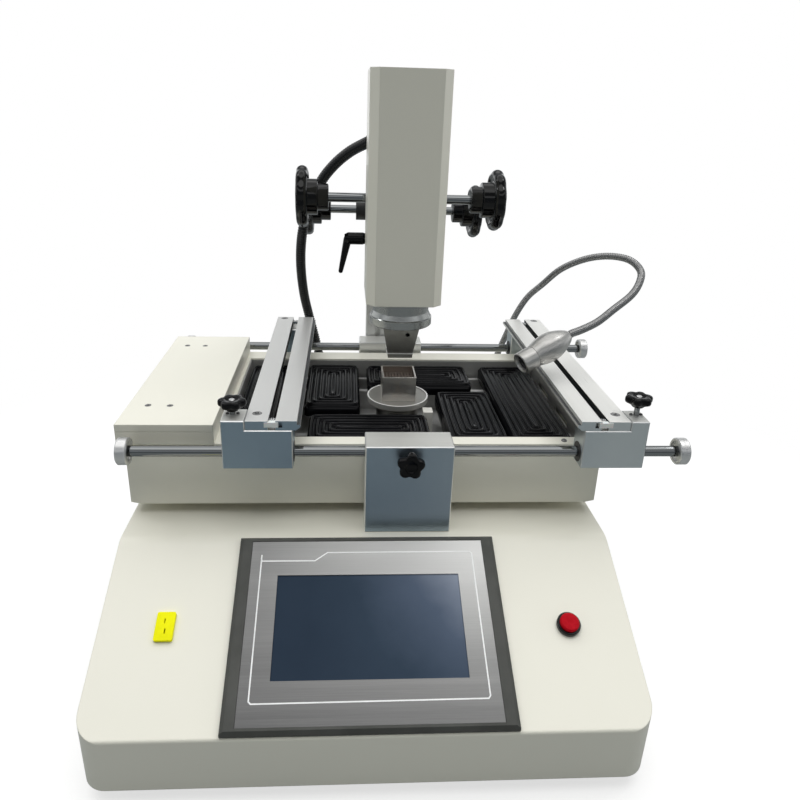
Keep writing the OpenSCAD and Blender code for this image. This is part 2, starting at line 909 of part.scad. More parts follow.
module slider_bore(x, l, y) {
  translate([x, y, rail_z])
    rod_x(bush_d, l);
}

module sliders(side) {
  pad = pad_w(side);
  color("#b4b8bc")
    clamp_at(side) {
      difference() {
        union() {
          translate([-pad / 2, beam_y, slider_z])
            edged_box([pad / 2 + slider_w, slider_d, beam_z - slider_z]);
          translate([-pad, beam_y, slider_z])
            edged_box([pad - seat_gap, slider_d, beam_top - slider_z]);
        }
        slider_bore(-pad - 1, pad + slider_w + 2, rail_y1);
        translate([-pad * knob_at, knob_y, beam_top - knob_stud_l - 6])
          cylinder(d = knob_stud_d + 2 * run_gap, h = knob_stud_l + 10);
      }
      difference() {
        translate([0, rail_y2 - slider_d / 2, slider_z])
          edged_box([slider_w, slider_d, beam_z - slider_z]);
        slider_bore(-1, slider_w + 2, rail_y2);
      }
    }
}

module bush(x, y) {
  translate([x, y, rail_z])
    rotate([0, 90, 0])
      difference() {
        cylinder(d = bush_d, h = bush_l);
        translate([0, 0, -1])
          cylinder(d = rail_d + 2 * run_gap, h = bush_l + 2);
      }
}

module bushes(side) {
  color("#1d1e20")
    clamp_at(side) {
      bush(-pad_w(side) - 0.4, rail_y1);
      bush(slider_w - bush_l + 0.4, rail_y1);
      bush(slider_w - bush_l + 0.4, rail_y2);
    }
}

module beam(side) {
  color("#c9cccf")
    clamp_at(side)
      difference() {
        union() {
          translate([0, beam_y + face_step, beam_z])
            edged_box([strip_w, beam_l - face_step, beam_t], edge_cut / 2);
          for (y = pin_ys)
            translate([strip_w - 10, y, pin_z])
              rod_x(pin_d, 10 + slot_w + 12);
          translate([strip_w + key_x[0], beam_y, beam_top - key_z[1]])
            cube([slot_w + key_x[1] - key_x[0], key_d + face_step, key_z[1] - key_z[0]]);
        }
        for (y = [beam_y + 17, beam_y + beam_l - 6])
          translate([strip_w / 2 - 1, y, beam_top - 3])
            cylinder(d1 = 4, d2 = 9, h = 3.01);
      }
}

module jaw(side) {
  e = jaw_x + jaw_w;
  top = beam_t - 0.1;
  color("#c9cccf")
    clamp_at(side)
      difference() {
        translate([0, beam_y + beam_l, beam_z + 0.1])
          rotate([90, 0, 0])
            linear_extrude(beam_l - face_step)
              polygon([[jaw_x, 0], [e - 1, 0], [e + ledge_w, top - ledge_drop - 2.5],
                [e + ledge_w, top - ledge_drop], [e, top - ledge_drop], [e, top - 0.1],
                [jaw_x, top - 0.1]]);
        for (y = pin_ys)
          translate([jaw_x - 1, y, pin_z])
            rod_x(pin_d + 2 * run_gap, 14 + jaw_travel);
        translate([jaw_x - 1, beam_y - 1, beam_top - key_z[1] - slide_gap])
          cube([1 + key_x[1] + jaw_travel + slide_gap, key_d + face_step + 1 + slide_gap,
            key_z[1] - key_z[0] + 2 * slide_gap]);
      }
}

spring_turns = 3.5;
spring_steps = 10;
wire_d = 0.8;
spring_d = 6.4;

module coil_spring() {
  n = spring_turns * spring_steps;
  l = slot_w - wire_d - 0.2;
  r = [for (i = [0:n])
    [wire_d / 2 + 0.1 + l * i / n, (spring_d - wire_d) / 2 * cos(360 * i / spring_steps),
      (spring_d - wire_d) / 2 * sin(360 * i / spring_steps)]];
  sweep_tube(r, wire_d, 6, 0, n, [1, 0, 0]);
}

module springs(side) {
  color("#aab0b5")
    clamp_at(side)
      for (y = pin_ys)
        translate([strip_w, y, pin_z])
          coil_spring();
}

// Lobed hand knob on a stud, standing on z = 0
module lobed_knob(n, d, h, stud_d, stud_up, stud_down) {
  lobe_r = d * 0.16;
  color("#151517") {
    translate([0, 0, stud_up + 3])
      difference() {
        linear_extrude(h - 3) {
          circle(r = d / 2 - 1.25 * lobe_r);
          for (a = [0:360 / n:359])
            rotate(a)
              translate([d / 2 - lobe_r, 0])
                circle(r = lobe_r);
        }
        translate([0, 0, h - 4])
          cylinder(d = d * 0.42, h = 2);
      }
    translate([0, 0, stud_up])
      cylinder(d = d * 0.5, h = 4);
  }
  color("#c0c3c6")
    translate([0, 0, -stud_down])
      cylinder(d = stud_d, h = stud_down + stud_up + 1);
}

module clamp_knob(side, up) {
  clamp_at(side)
    translate([-pad_w(side) * knob_at, knob_y, beam_top])
      lobed_knob(6, knob_d, knob_h, knob_stud_d, up, knob_stud_l);
}

module frame_knob() {
  y0 = rail_y1 - block_d / 2 - 3;
  translate([axis_x, y0, rail_z])
    rotate([90, 0, 0])
      rotate(13)
        lobed_knob(5, 25, frame_knob_h, frame_stud_d, frame_knob_up,
          rail_y1 - y0 - rail_d / 2 - seat_gap);
}

module column() {
  color("#a9acaf")
    difference() {
      translate([axis_x - column_w / 2, column_y, deck_z])
        cube([column_w, column_d, column_top - deck_z]);
      translate([axis_x - 18.2, column_y - 1, deck_z + 20])
        round_slot(6.5, 6, 73.2);
      translate([axis_x - column_w / 2 + 6, column_y + 8, deck_z - 1])
        cube([column_w - 12, column_d + 2, column_top - deck_z - 25]);
    }
}

module round_slot(w, d, h) {
  cube([w, d, h]);
  translate([w / 2, d, h])
    rotate([90, 0, 0])
      cylinder(d = w, h = d);
}

// Saddle on the column: bearings of the drive shaft and the guide of the arm
module column_saddle() {
  x0 = axis_x - column_w / 2;
  inner = arm_w + 2 * slide_gap;
  color("#9da0a4")
    difference() {
      translate([x0, saddle_y, column_top])
        cube([column_w, saddle_d, saddle_top - column_top]);
      translate([axis_x - inner / 2, saddle_y - 1, arm_z - slide_gap])
        cube([inner, saddle_d + 2, arm_h + 2 * slide_gap]);
      translate([axis_x - 9, drive_y - 14, column_top + 6])
        cube([18, 28, arm_z - column_top]);
      translate([axis_x - rack_w / 2 - 1, saddle_y - 1, drive_z + pitch_r - 2 * gear_m])
        cube([rack_w + 2, saddle_d + 2, 3 * gear_m + 1]);
      translate([x0 - 1, drive_y, drive_z])
        rod_x(shaft_d + 2 * run_gap, column_w + 2);
    }
}

// Rack along X with n teeth that face -Z; z = 0 is its pitch line
module rack(n, body) {
  m = gear_m;
  e = n / 2 * pitch;
  teeth = [for (i = [0:n - 1], k = [0:3])
    let (c = (i + 0.5) * pitch - e)
    k == 0 ? [c - pitch / 2 + 0.62 * m, 1.25 * m]
      : k == 1 ? [c - 0.38 * m, -m]
      : k == 2 ? [c + 0.38 * m, -m]
      : [c + pitch / 2 - 0.62 * m, 1.25 * m]];
  rotate([90, 0, 0])
    linear_extrude(rack_w, center = true)
      polygon(concat([[-e, body], [-e, 1.25 * m]], teeth, [[e, 1.25 * m], [e, body]]));
}

// Pinion whose tooth number 0 points along +X
module pinion(h) {
  m = gear_m;
  tip = pitch_r + m;
  root = pitch_r - 1.3 * m;
  translate([0, 0, -h / 2])
    linear_extrude(h)
      polygon([for (i = [0:pinion_n - 1], k = [0:3])
        let (a = 360 / pinion_n * i)
        k == 0 ? root * [cos(a - 6.6), sin(a - 6.6)]
          : k == 1 ? tip * [cos(a - 1.7), sin(a - 1.7)]
          : k == 2 ? tip * [cos(a + 1.7), sin(a + 1.7)]
          : root * [cos(a + 6.6), sin(a + 6.6)]]);
}

module arm() {
  color("#b9bcbf") {
    translate([axis_x - arm_w / 2, arm_y, arm_z])
      cube([arm_w, arm_l, arm_h]);
    translate([axis_x, drive_y - 5 * pitch, drive_z + pitch_r + mesh_gap])
      rotate(90)
        rack(24, 4);
  }
}

module lift_block() {
  x0 = axis_x - lift_block_w / 2;
  gib_w = (lift_block_w - slide_w) / 2 - slide_gap;
  color("#a4a7ab")
    difference() {
      translate([x0, lift_block_y, lift_block_z])
        cube([lift_block_w, lift_block_d, lift_block_h]);
      translate([axis_x - 8.5, lift_block_y - 1, lift_block_z - 1])
        cube([17, lift_y + pitch_r + 4 * gear_m - lift_block_y, lift_block_h + 2]);
      translate([x0 - 1, lift_y, lift_z])
        rod_x(shaft_d + 2 * run_gap, lift_block_w + 2);
      translate([x0 - 1, lever_y, lever_z])
        rod_x(lever_d + 2 * run_gap, lift_block_w / 2);
    }
  color("#a4a7ab")
    for (s = [-1, 1])
      translate([axis_x, 0, lift_block_z])
        mirror([s < 0 ? 1 : 0, 0, 0])
          translate([slide_w / 2 + slide_gap, head_back + 0.4, 0]) {
            cube([gib_w, slide_t + slide_gap - 0.4, lift_block_h]);
            translate([-groove_d + 0.2, groove_y - 0.4 + slide_gap, 0])
              cube([groove_d, groove_h - 2 * slide_gap, lift_block_h]);
          }
}

module cross_shaft(y, z) {
  color("#c8cbce")
    translate([axis_x, y, z]) {
      translate([-shaft_reach + 4, 0, 0])
        rod_x(shaft_d, 2 * shaft_reach - 8);
      rotate([0, 90, 0])
        pinion(15);
    }
}

// Handwheel with its stepped hub, outer face at z = 0, hub towards +z
module handwheel() {
  r = wheel_d / 2;
  difference() {
    rotate_extrude($fn = 64)
      polygon([[0, 3], [hub_d / 2 - 6, 3], [hub_d / 2 - 3, 5.5], [r - 12, 5.5], [r - 9, 1.5],
        [r - 5, 0], [r - 1.5, 2], [r, wheel_t / 2], [r - 1.5, wheel_t - 2], [r - 5, wheel_t],
        [r - 9, wheel_t - 2], [r - 12, wheel_t - 2.5], [hub_d / 2, wheel_t - 2.5],
        [hub_d / 2, wheel_t + hub_l - 1], [hub_d / 2 - 1, wheel_t + hub_l], [boss_d / 2, wheel_t + hub_l],
        [boss_d / 2, wheel_t + hub_l + boss_l - 1], [boss_d / 2 - 1, wheel_t + hub_l + boss_l],
        [0, wheel_t + hub_l + boss_l]]);
    for (a = [0:36:359])
      rotate(a)
        translate([r + 4.5, 0, -1])
          cylinder(r = 7, h = wheel_t + 2, $fn = 32);
    translate([0, 0, 4])
      cylinder(d = shaft_d, h = 60);
  }
}

module wheels(y, z) {
  color("#121214")
    for (s = [-1, 1])
      translate([axis_x + s * shaft_reach, y, z])
        rotate([0, -s * 90, 0])
          handwheel();
}

// Drive shaft with its two stop collars, which hold it between the cheeks
module drive_shaft() {
  cross_shaft(drive_y, drive_z);
  color("#1c1c1e")
    for (s = [-1, 1])
      translate([axis_x, drive_y, drive_z])
        rotate([0, s * 90, 0])
          translate([0, 0, column_w / 2 + seat_gap]) {
            cylinder(d = shaft_d + 6, h = 3);
            translate([0, 0, 2])
              cylinder(d = stop_d, h = stop_l);
          }
}

module head_slide() {
  color("#b0b3b7") {
    difference() {
      translate([axis_x - slide_w / 2, head_back, head_z + 4])
        cube([slide_w, slide_t, head_h - 10]);
      for (s = [-1, 1])
        translate([axis_x + s * slide_w / 2, head_back + groove_y + groove_h / 2, head_z + head_h / 2])
          cube([2 * groove_d, groove_h, head_h], center = true);
    }
    translate([axis_x, lift_y - pitch_r - mesh_gap, lift_z - 8 * pitch])
      rotate([0, -90, 90])
        rack(32, lift_y - pitch_r - mesh_gap - head_back - slide_t + 1);
  }
}

function head_outline(t) =
  let (w = head_w / 2 - t, d = head_d - 2 * t, c = head_cut - t * 0.6)
  [[-w, d], [-w, c], [-w + c, 0], [w - c, 0], [w, c], [w, d]];

module head_cover() {
  color("#e4e1d3")
    translate([axis_x, head_y, head_z])
      difference() {
        linear_extrude(head_h)
          polygon(head_outline(0));
        translate([0, head_t, head_t])
          linear_extrude(head_h - 2 * head_t)
            polygon(head_outline(head_t));
        translate([0, head_d / 2, -1])
          cylinder(d = collar_d - 14, h = 10);
        translate([hose_end[0] - axis_x, head_d + 5, hose_end[2] - head_z])
          rotate([90, 0, 0])
            cylinder(d = hose_d - 2, h = 10);
      }
}

module head_collar() {
  d = collar_d;
  color("#c4c8cc")
    translate([axis_x, axis_y, ring_z])
      rotate_extrude($fn = 96)
        polygon([[up_nozzle_w / 2 + 10, 0], [d / 2 - 0.6, 0], [d / 2, 0.6], [d / 2, ring_h - 1],
          [d / 2 - 1, ring_h], [d / 2 - 3.4, ring_h + 5], [d / 2 - 3.8, head_z - ring_z],
          [d / 2 - 7.2, head_z - ring_z], [d / 2 - 7.2, head_z - ring_z + 30],
          [up_nozzle_w / 2 + 4, head_z - ring_z + 30], [up_nozzle_w / 2 + 4, ring_h],
          [up_nozzle_w / 2 + 10, ring_h - 4]]);
}

// Square tapered duct from width a at z = 0 to width b at z = h
module duct(a, b, h) {
  hull() {
    translate([-a / 2, -a / 2, 0])
      cube([a, a, 0.01]);
    translate([-b / 2, -b / 2, h - 0.01])
      cube([b, b, 0.01]);
  }
}

module upper_nozzle() {
  t = 1.2;
  neck_h = 5;
  lip = 0.8;
  mid_w = up_mouth_w + 1;
  body_h = ring_z - nozzle_z - neck_h;
  color("#8a8782")
    translate([axis_x, axis_y, nozzle_z])
      difference() {
        union() {
          duct(up_mouth_w, mid_w, neck_h);
          translate([-mid_w / 2 - lip, -mid_w / 2 - lip, neck_h - lip / 2])
            cube([mid_w + 2 * lip, mid_w + 2 * lip, lip]);
          translate([0, 0, neck_h])
            duct(mid_w, up_nozzle_w, body_h);
          translate([0, 0, neck_h + body_h - 0.02])
            cylinder(d = up_nozzle_w + 8 - 2 * run_gap, h = 20);
        }
        translate([0, 0, -0.1])
          duct(up_mouth_w - 2 * t, mid_w - 2 * t, neck_h + 0.2);
        translate([0, 0, neck_h])
          duct(mid_w - 2 * t, up_nozzle_w - 2 * t, body_h);
        translate([0, 0, neck_h + body_h - 1])
          cylinder(d = up_nozzle_w - 2 * t, h = 30);
        translate([7, 0, neck_h + body_h - 9])
          rotate([90, 0, 0])
            cylinder(d = 4.4, h = 40);
      }
}

module clamping_lever() {
  translate([axis_x - lift_block_w / 2, lever_y, lever_z])
    rotate([0, -90, 0]) {
      color("#111113") {
        translate([0, 0, 5.5])
          cylinder(d1 = 10, d2 = 13, h = 4);
        translate([0, 0, 9.5])
          cylinder(d = 13, h = 16);
        translate([0, 0, 25.5])
          cylinder(d1 = 13, d2 = 9, h = 4);
        hull() {
          translate([-1, 0, 26])
            sphere(d = 9, $fn = 24);
          translate([-36, 0, 33.4])
            sphere(d = 5, $fn = 24);
        }
      }
      color("#9a9da0")
        translate([0, 0, -lift_block_w / 2 + rack_w / 2 + seat_gap])
          cylinder(d = lever_d, h = lift_block_w / 2 - rack_w / 2 - seat_gap + 7);
    }
}

module hose(i0, i1) {
  color("#17181a")
    sweep_tube(route(hose_pts, hose_steps), hose_d, 10, i0 * hose_steps, i1 * hose_steps);
}

module gooseneck() {
  color("#b9bcbf") {
    sweep_tube(route(goose_pts, hose_steps), goose_d, 10, 0, (len(goose_pts) - 1) * hose_steps);
    translate([goose_pts[0][0], goose_pts[0][1], deck_z]) {
      cylinder(d = 14, h = goose_pts[0][2] - deck_z - 0.1);
      translate([0, 0, -12])
        cylinder(d = stem_d, h = 14);
    }
  }
}

module lamp_body() {
  d = lamp_nose - lamp_tail;
  l = norm(d);
  color("#d4d6d8")
    translate(lamp_tail)
      rotate([0, acos(d[2] / l), atan2(d[1], d[0])])
        rotate_extrude()
          polygon([[0, 0], [4.6, 0], [6.4, 3], [9.2, 10], [12.4, 19], [14.5, 28], [15, 34],
            [14.4, 40], [12.6, 42.5], [10.8, 43.2], [10.8, 44.6], [11.4, 45], [11.4, l - 1],
            [10.8, l], [9.4, l], [9.4, l - 6], [0, l - 6]]);
}

base_shell();
base_plate();
feet();
hmi_bezel();
hmi_plate();
hmi_screen();
thermocouple_socket();
button_bezel();
button_cap();
power_inlet();
fan_frame();
fan_rotor();
tray_standoffs();
tray_box();
tray_liner();
left_cover();
tile_at(-139.5, 0, tile_w, tile_long, 0);  // heater_tile_1
tile_at(-71.5, 43.5, tile_w, tile_l, 0);  // heater_tile_2
tile_at(-33.5, -72, tile_w, tile_l, 90);  // heater_tile_3
tile_at(29.5, 72.5, tile_w, tile_l, 90);  // heater_tile_4
tile_at(74, -41, tile_w, tile_l, 0);  // heater_tile_5
tile_at(137.5, 0, tile_w, tile_long, 0);  // heater_tile_6
lower_heater();
lower_disc();
lower_nozzle();
ceramic_block();
front_block();
rear_block();
column();
column_saddle();
rails();
rail_caps();
sliders(-1);  // left_sliders
bushes(-1);  // left_bushes
beam(-1);  // left_beam
jaw(-1);  // left_jaw
springs(-1);  // left_springs
sliders(1);  // right_sliders
bushes(1);  // right_bushes
beam(1);  // right_beam
jaw(1);  // right_jaw
springs(1);  // right_springs
clamp_knob(-1, knob_up[0]);  // left_knob
clamp_knob(1, knob_up[1]);  // right_knob
frame_knob();
arm();
lift_block();
cross_shaft(lift_y, lift_z);  // lift_shaft
wheels(lift_y, lift_z);  // lift_wheels
drive_shaft();
wheels(drive_y, drive_z);  // drive_wheels
head_slide();
head_cover();
head_collar();
upper_nozzle();
clamping_lever();
hose(0, hose_split);  // hose_lower
hose(hose_split, len(hose_pts) - 1);  // hose_upper
gooseneck();
lamp_body();
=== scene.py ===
"""Looks of the hot-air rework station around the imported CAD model. Metres, +Z up, +Y to the back."""

from math import atan2, copysign, cos, hypot, radians, sin, sqrt, tau

import bmesh
import bpy
from mathutils import Matrix, Vector


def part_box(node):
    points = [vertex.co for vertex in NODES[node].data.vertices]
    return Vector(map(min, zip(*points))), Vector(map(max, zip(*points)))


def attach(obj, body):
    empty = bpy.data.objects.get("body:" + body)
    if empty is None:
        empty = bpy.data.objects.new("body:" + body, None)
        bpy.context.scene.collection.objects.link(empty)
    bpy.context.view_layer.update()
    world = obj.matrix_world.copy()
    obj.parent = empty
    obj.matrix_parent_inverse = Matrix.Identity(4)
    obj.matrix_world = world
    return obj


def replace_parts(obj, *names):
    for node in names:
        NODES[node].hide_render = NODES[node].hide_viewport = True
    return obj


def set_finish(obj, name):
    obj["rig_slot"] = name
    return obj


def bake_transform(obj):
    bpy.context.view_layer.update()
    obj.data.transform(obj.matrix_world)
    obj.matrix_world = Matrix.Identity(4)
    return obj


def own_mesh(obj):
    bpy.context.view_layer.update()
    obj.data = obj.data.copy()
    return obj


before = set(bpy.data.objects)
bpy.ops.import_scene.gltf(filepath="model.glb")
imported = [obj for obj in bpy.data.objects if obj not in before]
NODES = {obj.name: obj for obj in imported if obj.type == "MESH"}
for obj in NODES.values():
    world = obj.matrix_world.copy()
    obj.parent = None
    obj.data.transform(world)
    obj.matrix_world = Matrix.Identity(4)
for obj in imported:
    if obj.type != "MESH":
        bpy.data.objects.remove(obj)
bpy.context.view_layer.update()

MM = 0.001
SCENE = bpy.context.scene
AXIS_X = AXIS_Y = 36.5      # the hot-air axis, in mm
DECK_Z = 138.5              # top of the base
REAR_Y = 280                # outside of the rear wall
BEAM_TOP = 248.2            # top of the beams, jaws and slider pads
WHEELS = {"drive": (111, 223, 383), "lift": (111, 100, 412)}     # reach from the axis, shaft's y and z
CLAMPS = (("left", -108, 1), ("right", 234, -1))    # side, x of the seam between slider pad and beam, way inward
KNOB_X = {"left": -120.39, "right": 244.03}


def mm(*values):
    """A vector from millimetres."""
    return Vector(values) * MM


def moved(*values):
    """A shift by millimetres."""
    return Matrix.Translation(mm(*values))


def new_object(name, data):
    """A new object in the scene."""
    made = bpy.data.objects.new(name, data)
    SCENE.collection.objects.link(made)
    return made


def mesh_from(work, name):
    """A new mesh from a bmesh, which is freed."""
    mesh = bpy.data.meshes.new(name)
    work.to_mesh(mesh)
    work.free()
    return mesh


# ---------------- camera

IMAGE_PX = 800
FOCAL_PX = 687.73
CENTRE_PX = (383.94, 375.23)
SENSOR_MM = 36
YAW, PITCH, ROLL = (radians(a) for a in (3.51, 21.27, 1.64))


def make_camera():
    """The camera at the photograph's place, angle and focal length."""
    forward = Vector((sin(YAW) * cos(PITCH), cos(YAW) * cos(PITCH), -sin(PITCH)))
    level = Vector((cos(YAW), -sin(YAW), 0))
    above = level.cross(forward)
    right = cos(ROLL) * level + sin(ROLL) * above
    up = cos(ROLL) * above - sin(ROLL) * level
    data = bpy.data.cameras.new("camera")
    data.sensor_width = SENSOR_MM
    data.lens = FOCAL_PX / IMAGE_PX * SENSOR_MM
    data.shift_x = 0.5 - CENTRE_PX[0] / IMAGE_PX
    data.shift_y = CENTRE_PX[1] / IMAGE_PX - 0.5
    data.clip_start, data.clip_end = 0.02, 50
    camera = new_object("camera", data)
    turn = Matrix((right, up, -forward)).transposed().to_4x4()
    camera.matrix_world = moved(-21.83, -661.01, 503.46) @ turn
    SCENE.camera = camera


make_camera()

# ---------------- mesh tools


def piece(name, points, faces, finish, body, sharp=35, place=None):
    """A mesh piece in the row frame that rides on a body. Points are in metres."""
    mesh = bpy.data.meshes.new(name)
    mesh.from_pydata([tuple(p) for p in points], [], faces)
    return dress(name, mesh, finish, body, sharp, place)


def dress(name, mesh, finish, body, sharp=35, place=None):
    """Turns a mesh into a shown piece: placed, smooth up to the sharp angle, with its finish and slot."""
    if place is not None:
        mesh.transform(place)
        if place.determinant() < 0:
            mesh.flip_normals()
    mesh.validate()
    mesh.polygons.foreach_set("use_smooth", [True] * len(mesh.polygons))
    mesh.set_sharp_from_angle(angle=radians(sharp))
    mesh.materials.append(finish.material)
    made = new_object(name, mesh)
    if body:
        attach(made, body)
    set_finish(made, finish.slot)
    return made


def closed(name, points, faces, finish, body, sharp=35, place=None):
    """A closed piece, with all its faces turned to look outward."""
    made = piece(name, points, faces, finish, None, sharp, place)
    work = bmesh.new()
    work.from_mesh(made.data)
    bmesh.ops.recalc_face_normals(work, faces=work.faces)
    work.to_mesh(made.data)
    work.free()
    if body:
        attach(made, body)
    return made


def lathe(name, profile, finish, body, place, sides=96, warp=None, sharp=35):
    """A closed turned form about +Z from (radius, height) pairs in millimetres that start and end on the axis."""
    inner = profile[1:-1]
    points = [Vector((0, 0, profile[0][1]))]
    for r, z in inner:
        for i in range(sides):
            a = tau * i / sides
            k = warp(r, a) if warp else 1
            points.append(Vector((r * k * cos(a), r * k * sin(a), z)))
    points.append(Vector((0, 0, profile[-1][1])))
    faces = []
    for i in range(sides):
        j = (i + 1) % sides
        faces.append((0, 1 + j, 1 + i))
        for row in range(len(inner) - 1):
            a = 1 + row * sides
            faces.append((a + i, a + j, a + sides + j, a + sides + i))
        last = 1 + (len(inner) - 1) * sides
        faces.append((last + i, last + j, len(points) - 1))
    return closed(name, [p * MM for p in points], faces, finish, body, sharp, place)


def ring(name, profile, finish, body, place, sides):
    """A closed ring about +Z from a closed loop of (radius, height) pairs in millimetres."""
    points, faces, n = [], [], len(profile)
    for i in range(sides):
        a = tau * i / sides
        points += [Vector((r * cos(a), r * sin(a), z)) * MM for r, z in profile]
        j = (i + 1) % sides
        faces += [(i * n + k, j * n + k, j * n + (k + 1) % n, i * n + (k + 1) % n) for k in range(n)]
    return closed(name, points, faces, finish, body, place=place)


def spline(points, per_span):
    """Catmull-Rom points through the given ones, in their own units."""
    pts = [Vector(p) for p in points]
    out = []
    for i in range(len(pts) - 1):
        a, b, c, d = pts[max(i - 1, 0)], pts[i], pts[i + 1], pts[min(i + 2, len(pts) - 1)]
        for k in range(per_span):
            t = k / per_span
            out.append(0.5 * (2 * b + (c - a) * t + (2 * a - 5 * b + 4 * c - d) * t * t
                              + (3 * b - a - 3 * c + d) * t * t * t))
    return [*out, pts[-1]]


def evenly(line, step):
    """The line again with points a step apart."""
    lengths = [0.0]
    for a, b in zip(line, line[1:]):
        lengths.append(lengths[-1] + (b - a).length)
    n = max(2, round(lengths[-1] / step))
    out, k = [], 0
    for i in range(n + 1):
        at = lengths[-1] * i / n
        while k < len(line) - 2 and lengths[k + 1] < at:
            k += 1
        span = lengths[k + 1] - lengths[k]
        out.append(line[k].lerp(line[k + 1], (at - lengths[k]) / span if span else 0))
    return out


def tube(name, line, radii, sides, finish, body, sharp=60):
    """A closed tube along a line in metres, with one radius for each point."""
    tangents = [(line[min(i + 1, len(line) - 1)] - line[max(i - 1, 0)]).normalized() for i in range(len(line))]
    side = tangents[0].orthogonal().normalized()
    points, faces = [], []
    for i, (p, t, r) in enumerate(zip(line, tangents, radii)):
        side = (side - side.dot(t) * t).normalized()
        other = t.cross(side)
        for k in range(sides):
            a = tau * k / sides
            points.append(p + r * (cos(a) * side + sin(a) * other))
        if i:
            low = (i - 1) * sides
            faces += [(low + k, low + (k + 1) % sides, low + sides + (k + 1) % sides, low + sides + k)
                      for k in range(sides)]
    faces.append(tuple(range(sides))[::-1])
    faces.append(tuple(range(len(points) - sides, len(points))))
    return piece(name, points, faces, finish, body, sharp)


def block(name, low, high, finish, edge, place):
    """A loose box with rounded edges, from its lowest and highest corner in millimetres."""
    work = bmesh.new()
    bmesh.ops.create_cube(work, size=1)
    lo, hi = mm(*low), mm(*high)
    for v in work.verts:
        v.co = Vector(((lo[i] + hi[i]) / 2 + v.co[i] * (hi[i] - lo[i]) for i in range(3)))
    bmesh.ops.bevel(work, geom=work.edges[:], offset=edge * MM, segments=3, profile=0.5, affect="EDGES")
    return dress(name, mesh_from(work, name), finish, None, 50, place)


def hexagon(radius):
    """The corners of a hexagon round the origin."""
    return [(radius * cos(radians(60 * k)), radius * sin(radians(60 * k))) for k in range(6)]


def extruded(name, outline, height, finish, body, place, edge=0.0):
    """A plate from a closed outline in millimetres, standing on z = 0, with its edges bevelled."""
    work = bmesh.new()
    face = work.faces.new([work.verts.new((x * MM, y * MM, 0)) for x, y in outline])
    if face.normal.z < 0:
        face.normal_flip()
    made = bmesh.ops.extrude_face_region(work, geom=[face])
    bmesh.ops.translate(work, verts=[v for v in made["geom"] if isinstance(v, bmesh.types.BMVert)],
                        vec=(0, 0, height * MM))
    bmesh.ops.recalc_face_normals(work, faces=work.faces)
    if edge:
        rims = [e for e in work.edges if abs(e.verts[0].co.z - e.verts[1].co.z) < 1e-7]
        bmesh.ops.bevel(work, geom=rims, offset=edge * MM, segments=2, profile=0.5, affect="EDGES")
    return dress(name, mesh_from(work, name), finish, body, place=place)


def joined(name, parts, body):
    """Several pieces of one finish made into one."""
    work = bmesh.new()
    for p in parts:
        part = p.data.copy()
        part.transform(p.matrix_world)
        work.from_mesh(part)
        bpy.data.meshes.remove(part)
    mesh = mesh_from(work, name)
    mesh.materials.append(parts[0].data.materials[0])
    slot = parts[0]["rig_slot"]
    for p in parts:
        bpy.data.objects.remove(p)
    made = new_object(name, mesh)
    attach(made, body)
    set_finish(made, slot)


def cut(made, cutter):
    """Takes the cutter's form out of a piece, and removes the cutter."""
    tool = made.modifiers.new("cut", "BOOLEAN")
    tool.operation, tool.solver, tool.object = "DIFFERENCE", "EXACT", cutter
    bpy.context.view_layer.update()
    result = bpy.data.meshes.new_from_object(made.evaluated_get(bpy.context.evaluated_depsgraph_get()))
    made.modifiers.remove(tool)
    made.data = result
    bpy.data.objects.remove(cutter)
    return made


def turn_to(direction, at, spin=0.0):
    """A placement whose +Z looks along a direction, at a point in millimetres."""
    z = Vector(direction).normalized()
    return (moved(*at) @ z.to_track_quat("Z", "Y").to_matrix().to_4x4()
            @ Matrix.Rotation(spin, 4, "Z"))


# ---------------- finishes


def new_node(tree, kind, **inputs):
    """A new node with values on its sockets. A socket's name is written with underscores."""
    made = tree.nodes.new(kind)
    for name, value in inputs.items():
        made.inputs[name.replace("_", " ")].default_value = value
    return made


def math_node(tree, operation, *values):
    """A math node on sockets and plain numbers."""
    made = tree.nodes.new("ShaderNodeMath")
    made.operation = operation
    for socket, value in zip(made.inputs, values):
        if isinstance(value, (int, float)):
            socket.default_value = value
        else:
            tree.links.new(value, socket)
    return made.outputs[0]


def ramp_node(tree, value, stops):
    """A colour ramp on a value, from (position, colour) pairs."""
    made = tree.nodes.new("ShaderNodeValToRGB")
    elements = made.color_ramp.elements
    while len(elements) < len(stops):
        elements.new(0.5)
    for element, (position, color) in zip(elements, stops):
        element.position, element.color = position, (*color, 1)
    tree.links.new(value, made.inputs[0])
    return made.outputs[0]


def mix_node(tree, factor, a, b):
    """Two shaders mixed by a factor."""
    made = tree.nodes.new("ShaderNodeMixShader")
    for socket, value in zip(made.inputs, (factor, a, b)):
        tree.links.new(value, socket)
    return made.outputs[0]


